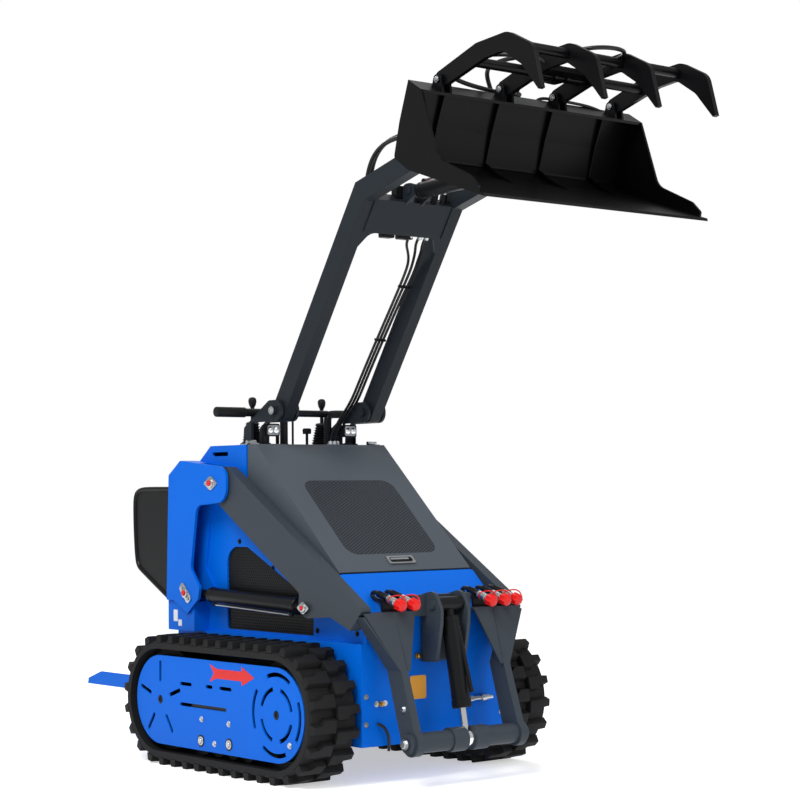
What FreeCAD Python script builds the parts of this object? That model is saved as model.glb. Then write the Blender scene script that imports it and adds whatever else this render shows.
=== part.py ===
import FreeCAD, Part
import Sketcher
import math
import os
from FreeCAD import Vector

# Mini skid steer loader on two rubber tracks. It has a lower lift frame hinged
# on towers at the sides and an upper boom that carries a bucket with a grapple.
# +X is forward, +Y is the machine's left and +Z is up, all in millimetres.
# Fore and aft places count from the midpoint between the track axles, and
# heights count from the ground. Sideways places count from the middle plane.

SIZES = {
    # Tracks
    "axle_spacing": 678,
    "track_width": 180,
    "overall_width": 980,
    "belt_inner_radius": 172,
    "belt_thickness": 24,
    "lug_height": 22,
    "lug_length": 42,
    "lug_taper": 7,
    "lug_count": 36,
    "lug_row_gap": 4,
    "lug_rest": 0.28,
    # Track frames, wheels and covers
    "cover_radius": 149,
    "cover_thickness": 6,
    "cover_inset": 13,
    "inner_plate_thickness": 12,
    "inner_plate_gap": 30,
    "wheel_width": 70,
    "wheel_web": 14,
    "wheel_rim": 24,
    "hub_radius": 34,
    "roller_radius": 38,
    "roller_spacing": 86,
    "roller_width": 80,
    "axle_radius": 14,
    "frame_beam_length": 300,
    "frame_beam_depth": 84,
    "slot_width": 14,
    "running_gap": 0.3,
    # Lower tub
    "tub_rear": -505,
    "tub_front": 544,
    "tub_floor": 120,
    "tub_top": 440,
    "tub_half_width": 298,
    "sheet": 8,
    "tub_flange": 28,
    # Upper body
    "body_half_width": 278,
    "body_rear": -480,
    "rear_slope_foot_drop": 115,
    "rear_slope_knee_back": -403,
    "rear_slope_knee_drop": 58,
    "deck_rear": -325,
    "deck_front": -107,
    "deck_height": 1077,
    "hood_side_rear_drop": 142,
    "hood_side_front_foot": 632,
    "nose_gap": 8,
    "window_rear": -225,
    "window_front": 270,
    "window_top_drop": 345,
    "window_crest": -103,
    "window_corner": 557,
    "window_sill": 452,
    # Hood
    "hood_half_width": 274,
    "hood_gap": 3,
    "hood_top_front": -54,
    "hood_step": 1,
    "hood_foot_front": 404,
    "hood_foot_height": 658,
    "hood_sheet": 5,
    "grille_start": 185,
    "grille_end": 543,
    "grille_half_width": 190,
    "grille_corner": 45,
    "grille_thickness": 3,
    # Engine, one plain block
    "engine_rear": -60,
    "engine_length": 360,
    "engine_width": 360,
    "engine_height": 430,
    # Towers
    "tower_outer": 348,
    "tower_plate": 10,
    "inner_tower_plate": 8,
    "lift_pivot_back": -220,
    "lift_pivot_drop": 131,
    "lift_pin_radius": 15,
    "ram_foot_back": -378,
    "ram_foot_height": 571,
    "ram_pin_radius": 12,
    # Lower lift frame
    "arm_outer": 332,
    "arm_thickness": 40,
    "arm_end_radius": 57,
    "knee_front": 595,
    "knee_height": 549,
    "lug_pin_front": 300,
    "lug_pin_height": 545,
    "tube_front": 694,
    "tube_height": 140,
    "tube_radius": 32,
    "tube_half_length": 240,
    "tube_end_radius": 30,
    "tube_hub_radius": 38,
    "tube_hub_half": 75,
    "leg_outer": 226,
    "leg_thickness": 28,
    "leg_eye_radius": 41,
    "gusset_top_inner": 122,
    "gusset_foot_inner": 188,
    "gusset_foot_height": 358,
    "shelf_height": 538,
    "shelf_rear": 552,
    "cross_top": 586,
    "clevis_foot": 374,
    "clevis_pin_front": 612,
    "clevis_pin_height": 556,
    "clevis_gap": 100,
    "clevis_plate": 12,
    "front_pin_radius": 14,
    "coupler_radius": 13,
    "coupler_cap_radius": 20,
    # Rams of the lower lift frame
    "ram_barrel_radius": 26,
    "ram_rod_radius": 12.5,
    "ram_barrel_start": 110,
    "ram_barrel_length": 505,
    "ram_eye_radius": 24,
    "rod_eye_radius": 20,
    "rod_eye_width": 20,
    "rod_fork_gap": 30,
    # Front tilt ram
    "front_barrel_radius": 29,
    "front_rod_radius": 12,
    "front_barrel_start": 40,
    "front_barrel_end": 330,
    "front_eye_width": 28,
    # Upper boom
    "boom_pivot_front": -15,
    "boom_pivot_rise": 113,
    "boom_knee_reach": 455,
    "boom_knee_rise": 687.5,
    "boom_tip_reach": 912,
    "boom_tip_rise": 805,
    "boom_depth": 71,
    "boom_outer": 208,
    "boom_thickness": 44,
    "boom_pin_radius": 15,
    "boom_clearance": 6,
    "bracket_plate": 10,
    "bracket_foot_edge": 3,
    "boom_cross_length": 112,
    "boom_cross_plate": 10,
    "torsion_tube_radius": 25,
    "torsion_tube_back": 110,
    # Bucket
    "bucket_half_width": 456,
    "bucket_sheet": 8,
    "bucket_top_reach": 100,
    "bucket_top_rise": 120,
    "bucket_lip_reach": 158,
    "bucket_lip_rise": 83,
    "bucket_heel_reach": 30,
    "bucket_heel_drop": 100,
    "bucket_floor_reach": 95,
    "bucket_floor_drop": 145,
    "bucket_edge_reach": 430,
    "bucket_edge_drop": 262,
    "bucket_lug_plate": 12,
    "rib_depth": 12,
    "rib_end_gap": 7,
    "rib_half_thickness": 3,
    "rib_floor_run": 90,
    "tilt_eye_back": 10,
    "tilt_eye_drop": 95,
    "tilt_foot_reach": 42,
    "tilt_foot_rise": 12.5,
    "tilt_barrel_radius": 27,
    "tilt_rod_radius": 12.5,
    # Grapple
    "grapple_pivot_reach": 135,
    "grapple_pivot_rise": 125,
    "grapple_pin_radius": 10,
    "tine_tip_reach": 432,
    "tine_tip_drop": 92,
    "tine_thickness": 16,
    "tine_inner_place": 110,
    "tine_outer_place": 355,
    "grapple_ram_foot_back": 15,
    "grapple_ram_foot_rise": 60,
    "grapple_crank_back": 20,
    "grapple_crank_rise": 70,
    "grapple_barrel_radius": 20,
    "grapple_rod_radius": 9,
    # Controls on the deck
    "bar_radius": 14.5,
    "bar_rise": 113,
    "bar_back": -190,
    "bar_reach": 345,
    "lever_back": -254,
    "lever_half_gap": 150,
    "lamp_half_gap": 166,
    "lamp_half_width": 28,
    "lamp_half_height": 22,
    "lamp_rise": 51,
    "lever_rise": 155,
    # Guards and platform at the rear
    "guard_reach": 739,
    "guard_drop": 15,
    "guard_foot_drop": 45,
    "guard_rim_radius": 9,
    "guard_sheet": 5,
    "platform_reach": 1131,
    "platform_front": -566,
    "platform_hinge_back": -532,
    "platform_hinge_height": 240,
    "platform_half_width": 300,
    "platform_floor": 207,
    "platform_sheet": 8,
    "platform_lip": 50,
    "hinge_radius": 7,
    "hinge_pin_radius": 4,
    "hinge_start": 240.3,
}

doc = FreeCAD.newDocument("mini_skid_steer_loader")
sheet = doc.addObject("Spreadsheet::Sheet", "sizes")
for row, (name, number) in enumerate(SIZES.items(), start=1):
    sheet.set("A%d" % row, name)
    sheet.set("B%d" % row, str(number))
    sheet.setAlias("B%d" % row, name)
doc.recompute()


# A size is a number together with the sheet expression that gives it.
class Size:
    def __init__(self, text, value):
        self.text = text
        self.value = float(value)

    def __add__(self, other):
        return combine(self, "+", other)

    def __radd__(self, other):
        return combine(other, "+", self)

    def __sub__(self, other):
        return combine(self, "-", other)

    def __rsub__(self, other):
        return combine(other, "-", self)

    def __mul__(self, other):
        return combine(self, "*", other)

    def __rmul__(self, other):
        return combine(other, "*", self)

    def __truediv__(self, other):
        return combine(self, "/", other)

    def __rtruediv__(self, other):
        return combine(other, "/", self)

    def __neg__(self):
        return Size("(-%s)" % self.text, -self.value)


RULES = {
    "+": lambda a, b: a + b,
    "-": lambda a, b: a - b,
    "*": lambda a, b: a * b,
    "/": lambda a, b: a / b,
}


def as_size(item):
    if isinstance(item, Size):
        return item
    return Size("(%r)" % item if item < 0 else repr(item), item)


def combine(left, sign, right):
    left, right = as_size(left), as_size(right)
    text = "(%s %s %s)" % (left.text, sign, right.text)
    return Size(text, RULES[sign](left.value, right.value))


def root(size):
    return Size("sqrt(%s)" % size.text, math.sqrt(size.value))


def length_of(across, up):
    return root(across * across + up * up)


def turn_of(up, across):
    text = "atan2(%s; %s)" % (as_size(up).text, as_size(across).text)
    angle = math.degrees(math.atan2(as_size(up).value, as_size(across).value))
    return Size(text, angle)


class Sheet:
    def __getattr__(self, name):
        return Size("sizes." + name, float(sheet.get(name)))


d = Sheet()

# The frame's origin is under the middle of the whole machine, so fore and aft
# places move by half the difference between its reach in front and behind.
boom_tip_front = d.boom_pivot_front + d.boom_tip_reach
tine_tip_front = boom_tip_front + d.grapple_pivot_reach + d.tine_tip_reach
mid_x = (d.platform_reach - tine_tip_front) / 2

# Heights on the body that follow from the deck
rear_slope_foot = d.deck_height - d.rear_slope_foot_drop
rear_slope_knee_height = d.deck_height - d.rear_slope_knee_drop
hood_side_rear_foot = d.deck_height - d.hood_side_rear_drop
window_top = d.deck_height - d.window_top_drop
hood_top_height = d.deck_height + d.hood_step
bar_height = d.deck_height + d.bar_rise
lamp_height = d.deck_height + d.lamp_rise
lever_height = d.deck_height + d.lever_rise

# Pins of the lift frame and its rams
px, pz, pr = d.lift_pivot_back, d.deck_height - d.lift_pivot_drop, d.arm_end_radius
fx, fz = d.ram_foot_back, d.ram_foot_height
lx, lz = d.lug_pin_front, d.lug_pin_height

# Pins of the upper boom, the bucket and the grapple
bx, bz = d.boom_pivot_front, d.deck_height + d.boom_pivot_rise
kx, kz = bx + d.boom_knee_reach, bz + d.boom_knee_rise
ex, ez = boom_tip_front, bz + d.boom_tip_rise
qx, qz = kx + d.tilt_foot_reach, kz + d.tilt_foot_rise
gx, gz = ex - d.tilt_eye_back, ez - d.tilt_eye_drop
vx, vz = ex + d.grapple_pivot_reach, ez + d.grapple_pivot_rise
hx, hz = ex - d.grapple_ram_foot_back, ez + d.grapple_ram_foot_rise
jx, jz = vx - d.grapple_crank_back, vz + d.grapple_crank_rise
bucket_top = (ex + d.bucket_top_reach, ez + d.bucket_top_rise)
bucket_lip = (ex + d.bucket_lip_reach, ez + d.bucket_lip_rise)
bucket_heel = (ex + d.bucket_heel_reach, ez - d.bucket_heel_drop)
bucket_floor = (ex + d.bucket_floor_reach, ez - d.bucket_floor_drop)
bucket_edge = (ex + d.bucket_edge_reach, ez - d.bucket_edge_drop)


def bind(item, prop, size):
    size = as_size(size)
    item.setExpression(prop, size.text)
    return item


def place(item, x, y, z):
    bind(item, "Placement.Base.x", mid_x + x)
    bind(item, "Placement.Base.y", y)
    bind(item, "Placement.Base.z", z)
    return item


def unit(ax, az, bx, bz):
    span = math.hypot(bx - ax, bz - az)
    return (bx - ax) / span, (bz - az) / span


# A closed outline of straight sides. Each corner is (across, up) or
# (across, up, radius), and a radius makes that corner a tangent arc.
def add_outline(sketch, corners, shift):
    spots = [(as_size(c[0]) + shift, as_size(c[1]), as_size(c[2]) if len(c) > 2 else None)
             for c in corners]
    count = len(spots)
    area = sum(spots[i - 1][0].value * spots[i][1].value
               - spots[i][0].value * spots[i - 1][1].value for i in range(count))
    if area < 0:
        spots.reverse()
    ends = []
    for i in range(count):
        x, z = spots[i][0].value, spots[i][1].value
        radius = spots[i][2]
        if radius is None:
            ends.append(((x, z), (x, z), None))
            continue
        before, after = spots[i - 1], spots[(i + 1) % count]
        ux, uz = unit(x, z, before[0].value, before[1].value)
        wx, wz = unit(x, z, after[0].value, after[1].value)
        half = math.acos(max(-1.0, min(1.0, ux * wx + uz * wz))) / 2
        run = radius.value / math.tan(half)
        bx, bz = unit(0, 0, ux + wx, uz + wz)
        reach = radius.value / math.sin(half)
        centre = (x + bx * reach, z + bz * reach)
        ends.append(((x + ux * run, z + uz * run), (x + wx * run, z + wz * run), centre))
    lines = []
    for i in range(count):
        start, stop = ends[i][1], ends[(i + 1) % count][0]
        side = Part.LineSegment(Vector(start[0], start[1], 0), Vector(stop[0], stop[1], 0))
        lines.append(sketch.addGeometry(side, False))
    for i in range(count):
        coming, going = lines[i - 1], lines[i]
        x, z, radius = spots[i]
        if radius is None:
            sketch.addConstraint(Sketcher.Constraint("Coincident", coming, 2, going, 1))
            pin(sketch, going, 1, x, z)
            continue
        first, last, centre = ends[i]
        circle = Part.Circle(Vector(centre[0], centre[1], 0), Vector(0, 0, 1), radius.value)
        angle_in = math.atan2(first[1] - centre[1], first[0] - centre[0])
        angle_out = math.atan2(last[1] - centre[1], last[0] - centre[0])
        convex = math.sin(angle_out - angle_in) > 0
        pair = (angle_in, angle_out) if convex else (angle_out, angle_in)
        arc = sketch.addGeometry(Part.ArcOfCircle(circle, pair[0], pair[1]), False)
        near, far = (1, 2) if convex else (2, 1)
        sketch.addConstraint(Sketcher.Constraint("Tangent", coming, 2, arc, near))
        sketch.addConstraint(Sketcher.Constraint("Tangent", arc, far, going, 1))
        index = sketch.addConstraint(Sketcher.Constraint("Radius", arc, radius.value))
        sketch.setExpression("Constraints[%d]" % index, radius.text)
        corner = sketch.addGeometry(Part.Point(Vector(x.value, z.value, 0)), True)
        sketch.addConstraint(Sketcher.Constraint("PointOnObject", corner, 1, coming))
        sketch.addConstraint(Sketcher.Constraint("PointOnObject", corner, 1, going))
        pin(sketch, corner, 1, x, z)


def pin(sketch, geometry, end, x, z):
    for kind, size in (("DistanceX", x), ("DistanceY", z)):
        index = sketch.addConstraint(
            Sketcher.Constraint(kind, -1, 1, geometry, end, size.value))
        sketch.setExpression("Constraints[%d]" % index, size.text)


def add_circle(sketch, x, z, radius, shift):
    x, z, radius = as_size(x) + shift, as_size(z), as_size(radius)
    ring = Part.Circle(Vector(x.value, z.value, 0), Vector(0, 0, 1), radius.value)
    circle = sketch.addGeometry(ring, False)
    pin(sketch, circle, 3, x, z)
    index = sketch.addConstraint(Sketcher.Constraint("Radius", circle, radius.value))
    sketch.setExpression("Constraints[%d]" % index, radius.text)


# Sheet metal and plate: one sketch, padded. The plane XZ counts its depth to
# the machine's right, YZ counts forward and XY counts up.
def pad(name, plane, outline, near, far, windows=(), holes=(), local=False):
    body = doc.addObject("PartDesign::Body", name)
    sketch = body.newObject("Sketcher::SketchObject", name + "_sketch")
    faces = [item for item in body.Origin.OriginFeatures if item.Role == plane + "_Plane"]
    sketch.AttachmentSupport = [(faces[0], "")]
    sketch.MapMode = "FlatFace"
    shift = as_size(0) if local or plane == "YZ" else mid_x
    depth = as_size(near) + mid_x if plane == "YZ" and not local else as_size(near)
    bind(sketch, "AttachmentOffset.Base.z", depth)
    for loop in (outline,) + tuple(windows):
        add_outline(sketch, loop, shift)
    for x, z, radius in holes:
        add_circle(sketch, x, z, radius, shift)
    solid = body.newObject("PartDesign::Pad", name + "_pad")
    solid.Profile = sketch
    bind(solid, "Length", as_size(far) - near)
    sketch.Visibility = False
    return body


def side_plate(name, outline, inner, outer, windows=(), holes=()):
    return pad(name, "XZ", outline, inner, outer, windows, holes)


def box(name, x0, x1, y0, y1, z0, z1):
    item = doc.addObject("Part::Box", name)
    bind(item, "Length", as_size(x1) - x0)
    bind(item, "Width", as_size(y1) - y0)
    bind(item, "Height", as_size(z1) - z0)
    return place(item, as_size(x0), y0, z0)


# A round bar across the machine, from y0 to y1.
def cross_bar(name, x, z, y0, y1, radius):
    item = doc.addObject("Part::Cylinder", name)
    bind(item, "Radius", radius)
    bind(item, "Height", as_size(y1) - y0)
    item.Placement = FreeCAD.Placement(Vector(), FreeCAD.Rotation(Vector(1, 0, 0), -90))
    return place(item, as_size(x), y0, z)


# A round bar in a fore-and-aft plane, laid along the line from one spot to
# another; start and stop are distances along that line.
def long_bar(name, spot, other, y, start, stop, radius):
    across, up = as_size(other[0]) - spot[0], as_size(other[1]) - spot[1]
    span = length_of(across, up)
    item = doc.addObject("Part::Cylinder", name)
    bind(item, "Radius", radius)
    bind(item, "Height", as_size(stop) - start)
    item.Placement = FreeCAD.Placement(Vector(), FreeCAD.Rotation(Vector(0, 1, 0), 1))
    place(item, spot[0] + across / span * start, y, spot[1] + up / span * start)
    return bind(item, "Placement.Rotation.Angle", turn_of(across, up))


def upright(name, x, y, z0, z1, radius):
    item = doc.addObject("Part::Cylinder", name)
    bind(item, "Radius", radius)
    bind(item, "Height", as_size(z1) - z0)
    return place(item, as_size(x), y, z0)


def fuse(name, parts):
    item = doc.addObject("Part::MultiFuse", name)
    item.Shapes = parts
    item.Refine = True
    return item


def cut(name, base, tools):
    item = doc.addObject("Part::Cut", name)
    item.Base = base
    item.Tool = tools[0] if len(tools) == 1 else fuse(name + "_tools", tools)
    item.Refine = True
    return item


def group(name, parts):
    item = doc.addObject("Part::Compound", name)
    item.Links = parts
    return item


def mirrored(name, source):
    item = doc.addObject("Part::Mirroring", name)
    item.Source = source
    item.Normal = Vector(0, 1, 0)
    return item


NODES = []


def node(name, item):
    item.Label = name
    NODES.append(item)
    return item


# The same piece on both sides: made on the right, mirrored to the left.
def both_sides(name, item):
    node(name + "_right", item)
    node(name + "_left", mirrored(name + "_mirror", item))


# The outline of a bar of constant depth that follows a bent line of spots.
def band(spots, half):
    spots = [(as_size(x), as_size(z)) for x, z in spots]
    runs = []
    for (ax, az), (bx, bz) in zip(spots, spots[1:]):
        span = length_of(bx - ax, bz - az)
        runs.append(((bx - ax) / span, (bz - az) / span))
    over, under = [], []
    for i, (x, z) in enumerate(spots):
        if i in (0, len(spots) - 1):
            way = -1 if i == 0 else 1
            ux, uz = runs[0] if i == 0 else runs[-1]
            x, z = x + ux * half * way, z + uz * half * way
            over.append((x - uz * half, z + ux * half, half * 0.98))
            under.append((x + uz * half, z - ux * half, half * 0.98))
            continue
        (ux, uz), (wx, wz) = runs[i - 1], runs[i]
        share = half / (1 + ux * wx + uz * wz)
        mx, mz = (uz + wz) * share, (ux + wx) * share
        over.append((x - mx, z + mz))
        under.append((x + mx, z - mz))
    return over + under[::-1]


# Tracks
axle_height = d.belt_inner_radius + d.belt_thickness + d.lug_height + d.lug_rest
half_spacing = d.axle_spacing / 2
track_outer = d.overall_width / 2
track_inner = track_outer - d.track_width


# One loop of belt with two rows of lugs, the rows half a pitch apart.
def track_shape():
    half, inner = half_spacing.value, d.belt_inner_radius.value
    outer = inner + d.belt_thickness.value
    height, z = d.lug_height.value, axle_height.value
    x = mid_x.value

    def loop(radius):
        top = Part.LineSegment(Vector(x - half, 0, z + radius), Vector(x + half, 0, z + radius))
        nose = Part.Arc(Vector(x + half, 0, z + radius), Vector(x + half + radius, 0, z),
                        Vector(x + half, 0, z - radius))
        foot = Part.LineSegment(Vector(x + half, 0, z - radius), Vector(x - half, 0, z - radius))
        tail = Part.Arc(Vector(x - half, 0, z - radius), Vector(x - half - radius, 0, z),
                        Vector(x - half, 0, z + radius))
        return Part.Wire([edge.toShape() for edge in (top, nose, foot, tail)])

    def solid(wire, y0, y1):
        face = Part.Face(wire)
        face.translate(Vector(0, y0, 0))
        return face.extrude(Vector(0, y1 - y0, 0))

    y0, y1 = -track_outer.value, -track_inner.value
    belt = solid(loop(outer), y0, y1).cut(solid(loop(inner), y0 - 1, y1 + 1))
    straight = 2 * half
    bend = math.pi * outer
    pitch = (2 * straight + 2 * bend) / int(d.lug_count.value)

    def station(distance):
        distance = distance % (2 * straight + 2 * bend)
        if distance < straight:
            return x - half + distance, z + outer, 90.0
        distance -= straight
        if distance < bend:
            angle = 90.0 - math.degrees(distance / outer)
        else:
            distance -= bend
            if distance < straight:
                return x + half - distance, z - outer, -90.0
            angle = -90.0 - math.degrees((distance - straight) / outer)
        side = half if angle > -90.0 else -half
        radians = math.radians(angle)
        return x + side + outer * math.cos(radians), z + outer * math.sin(radians), angle

    def lug(distance, y0, y1):
        px, pz, angle = station(distance)
        radians = math.radians(angle)
        out = Vector(math.cos(radians), 0, math.sin(radians))
        along = Vector(out.z, 0, -out.x)
        foot, top = d.lug_length.value / 2, d.lug_length.value / 2 - d.lug_taper.value
        rise = [(-foot, -2), (foot, -2), (top, height), (-top, height)]
        spots = [Vector(px, y0, pz) + along * a + out * b for a, b in rise]
        face = Part.Face(Part.makePolygon(spots + spots[:1]))
        return face.extrude(Vector(0, y1 - y0, 0))

    half_gap = d.lug_row_gap.value / 2
    middle = (y0 + y1) / 2
    lugs = []
    for k in range(int(d.lug_count.value)):
        lugs.append(lug(k * pitch, y0, middle - half_gap))
        lugs.append(lug((k + 0.5) * pitch, middle + half_gap, y1))
    return belt.multiFuse(lugs)


track = doc.addObject("Part::Feature", "track")
track.Shape = track_shape()
both_sides("track", track)

# Track frames: an inner plate, a beam and the mounts to the tub
cover_outer = track_outer - d.cover_inset
cover_inner = cover_outer - d.cover_thickness
plate_inner = d.tub_half_width + d.inner_plate_gap + 12
plate_outer = plate_inner + d.inner_plate_thickness
wheel_middle = (track_inner + track_outer) / 2


def stadium(name, radius, inner, outer):
    ends = [cross_bar(name + "_front", half_spacing, axle_height, -outer, -inner, radius),
            cross_bar(name + "_rear", -half_spacing, axle_height, -outer, -inner, radius)]
    middle = box(name + "_middle", -half_spacing, half_spacing, -outer, -inner,
                 axle_height - radius, axle_height + radius)
    return fuse(name, ends + [middle])


beam_half = d.frame_beam_length / 2
beam_depth = d.frame_beam_depth / 2
frame_plate = stadium("frame_plate", d.cover_radius, plate_inner, plate_outer)
frame_beam = box("frame_beam", -beam_half, beam_half, -cover_inner, -plate_outer,
                 axle_height - beam_depth, axle_height + beam_depth)
mounts = [box("frame_mount_" + word, place_x - 60, place_x + 60, -plate_inner,
              -d.tub_half_width, axle_height - beam_depth, axle_height + beam_depth)
          for word, place_x in (("front", as_size(200)), ("rear", as_size(-200)))]
both_sides("track_frame", fuse("track_frame", [frame_plate, frame_beam] + mounts))


# Wheels and rollers stand between the inner plate and the cover
def spindle(name, x, z, radius, width, hub):
    wheel = cross_bar(name + "_wheel", x, z, -(wheel_middle + as_size(width) / 2),
                      -(wheel_middle - as_size(width) / 2), radius)
    shaft = cross_bar(name + "_shaft", x, z, -cover_inner, -plate_outer, hub)
    return wheel, shaft


def track_wheel(name, x):
    radius = d.belt_inner_radius - d.running_gap
    wheel, shaft = spindle(name, x, axle_height, radius, d.wheel_width, d.hub_radius)
    well = d.wheel_width / 2
    web = d.wheel_web / 2
    dishes = [cross_bar(name + "_dish_" + word, x, axle_height, low, high, radius - d.wheel_rim)
              for word, low, high in (("out", -(wheel_middle + well), -(wheel_middle + web)),
                                      ("in", -(wheel_middle - web), -(wheel_middle - well)))]
    return fuse(name, [cut(name + "_rim", wheel, dishes), shaft])


roller_height = axle_height - d.belt_inner_radius + d.running_gap + d.roller_radius
wheels = [track_wheel("sprocket", -half_spacing), track_wheel("idler", half_spacing)]
for k in range(4):
    spot = d.roller_spacing * (k - 1.5)
    wheels.append(fuse("roller_%d" % k, list(spindle(
        "roller_%d" % k, spot, roller_height, d.roller_radius, d.roller_width, d.axle_radius))))
both_sides("track_wheels", group("track_wheels", wheels))


# Covers: a stadium plate with slots round both hubs
def radial_slot(name, x, z, inner, outer, angle):
    c, s = math.cos(math.radians(angle)), math.sin(math.radians(angle))
    w = d.slot_width / 2
    corners = [(x + inner * c - w * s, z + inner * s + w * c, w * 0.9),
               (x + inner * c + w * s, z + inner * s - w * c, w * 0.9),
               (x + outer * c + w * s, z + outer * s - w * c, w * 0.9),
               (x + outer * c - w * s, z + outer * s + w * c, w * 0.9)]
    return side_plate(name, corners, cover_inner - 2, cover_outer + 2)


def arc_slot(name, x, z, radius, start, sweep):
    def sector(label, size, low, high):
        item = doc.addObject("Part::Cylinder", label)
        bind(item, "Radius", size)
        bind(item, "Height", as_size(high) - low)
        item.Angle = sweep
        turned = FreeCAD.Rotation(Vector(0, 1, 0), -start)
        laid = FreeCAD.Rotation(Vector(1, 0, 0), 90)
        item.Placement = FreeCAD.Placement(Vector(), turned.multiply(laid))
        return place(item, x, -as_size(low), z)

    w = d.slot_width / 2
    outside = sector(name + "_outside", radius + w, cover_inner - 2, cover_outer + 2)
    inside = sector(name + "_inside", radius - w, cover_inner - 3, cover_outer + 3)
    return cut(name, outside, [inside])


cover_plate = stadium("cover_plate", d.cover_radius, cover_inner, cover_outer)
cover_cuts = [cross_bar("rear_hub_hole", -half_spacing, axle_height, -cover_outer - 2,
                        -cover_inner + 2, d.axle_radius + 1),
              cross_bar("front_hub_hole", half_spacing, axle_height, -cover_outer - 2,
                        -cover_inner + 2, d.axle_radius + 1)]
slot_inner, slot_outer = d.cover_radius * 0.4, d.cover_radius * 0.88
for k in range(5):
    cover_cuts.append(radial_slot("rear_slot_%d" % k, -half_spacing, axle_height,
                                  slot_inner, slot_outer, 18 + 72 * k))
for k in range(4):
    cover_cuts.append(arc_slot("inner_arc_%d" % k, half_spacing, axle_height,
                               d.cover_radius * 0.55, 90 * k + 12, 62))
    cover_cuts.append(arc_slot("outer_arc_%d" % k, half_spacing, axle_height,
                               d.cover_radius * 0.85, 90 * k + 55, 58))
for k, (start, stop, rise) in enumerate([(-215, -145, 62), (-60, -20, 62), (20, 90, 62),
                                         (-215, 60, -6)]):
    low, high = axle_height + rise - 6, axle_height + rise + 6
    cover_cuts.append(side_plate("long_slot_%d" % k, [(start, low, 5), (stop, low, 5),
                                                      (stop, high, 5), (start, high, 5)],
                                 cover_inner - 2, cover_outer + 2))
both_sides("track_cover", cut("track_cover", cover_plate, cover_cuts))

# Lower tub: open at the top inside a flange that carries the side panels
tub_block = box("tub_block", d.tub_rear, d.tub_front, -d.tub_half_width, d.tub_half_width,
                d.tub_floor, d.tub_top)
tub_room = box("tub_room", d.tub_rear + d.sheet, d.tub_front - d.sheet,
               d.sheet - d.tub_half_width, d.tub_half_width - d.sheet,
               d.tub_floor + d.sheet, d.tub_top - d.sheet)
tub_mouth = box("tub_mouth", d.tub_rear + d.sheet + d.tub_flange,
                d.tub_front - d.sheet - d.tub_flange,
                d.tub_flange + d.sheet - d.tub_half_width,
                d.tub_half_width - d.sheet - d.tub_flange,
                d.tub_top - d.sheet - 1, d.tub_top + 1)
node("lower_tub", cut("lower_tub", tub_block, [tub_room, tub_mouth]))

node("engine_block", box("engine_block", d.engine_rear, d.engine_rear + d.engine_length,
                         -d.engine_width / 2, d.engine_width / 2,
                         d.tub_floor + d.sheet, d.tub_floor + d.sheet + d.engine_height))

# Side panels, one blue sheet each side with a window
slope_run = d.hood_foot_front - d.hood_top_front
slope_drop = hood_top_height - d.hood_foot_height
slope_length = length_of(slope_run, slope_drop)
nose_top_front = d.hood_foot_front + d.nose_gap * slope_run / slope_length
nose_top_height = d.hood_foot_height - d.nose_gap * slope_drop / slope_length
nose_corner_height = d.hood_foot_height - (d.tub_front - d.hood_foot_front) * (
    slope_drop / slope_run)
panel_drop = d.nose_gap
side_outline = [
    (d.body_rear, d.tub_top),
    (d.body_rear, rear_slope_foot, 12),
    (d.rear_slope_knee_back, rear_slope_knee_height, 40),
    (d.deck_rear, d.deck_height, 8),
    (d.deck_front, d.deck_height, 4),
    (d.deck_front, hood_side_rear_foot - panel_drop, 4),
    (d.hood_foot_front - 16, d.hood_side_front_foot - panel_drop, 6),
    (nose_top_front, nose_top_height, 3),
    (d.tub_front, nose_corner_height, 10),
    (d.tub_front, d.tub_top),
]


def window_outline(grow):
    return [
        (d.window_rear - grow, d.window_sill - grow / 2, 8),
        (d.window_rear - grow, window_top + grow, 60),
        (d.window_crest, window_top + grow, 30),
        (d.window_front + grow, d.window_corner + grow, 10),
        (d.window_front + grow, d.window_sill - grow / 2, 8),
    ]


side_inner = d.body_half_width - d.sheet
deck_slot = [(d.deck_rear + 12, d.deck_height - 36, 6), (d.deck_rear + 108, d.deck_height - 36, 6),
             (d.deck_rear + 108, d.deck_height - 22, 6), (d.deck_rear + 12, d.deck_height - 22, 6)]
both_sides("side_panel", side_plate("side_panel", side_outline, side_inner,
                                    d.body_half_width, [window_outline(as_size(0)), deck_slot]))
both_sides("side_mesh", side_plate("side_mesh", window_outline(as_size(14)),
                                   side_inner - d.grille_thickness - 2, side_inner))

# Rear cover and deck: one bent sheet between the side panels
rear_sheet = [
    (d.body_rear, d.tub_top),
    (d.body_rear, rear_slope_foot, 12),
    (d.rear_slope_knee_back, rear_slope_knee_height, 40),
    (d.deck_rear, d.deck_height, 8),
    (d.deck_front, d.deck_height, 4),
    (d.deck_front, hood_side_rear_foot - panel_drop),
    (d.deck_front - d.sheet, hood_side_rear_foot - panel_drop),
    (d.deck_front - d.sheet, d.deck_height - d.sheet),
    (d.deck_rear + 3, d.deck_height - d.sheet, 4),
    (d.rear_slope_knee_back + 3, rear_slope_knee_height - d.sheet, 36),
    (d.body_rear + d.sheet, rear_slope_foot - 5, 6),
    (d.body_rear + d.sheet, d.tub_top),
]
node("rear_deck", side_plate("rear_deck", rear_sheet, -side_inner, side_inner))

nose_sheet = [
    (nose_top_front, nose_top_height),
    (d.tub_front, nose_corner_height, 10),
    (d.tub_front, d.tub_top),
    (d.tub_front - d.sheet, d.tub_top),
    (d.tub_front - d.sheet, nose_corner_height - 4, 4),
    (nose_top_front - 5, nose_top_height - 6),
]
node("nose_panel", side_plate("nose_panel", nose_sheet, -side_inner, side_inner))

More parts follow.
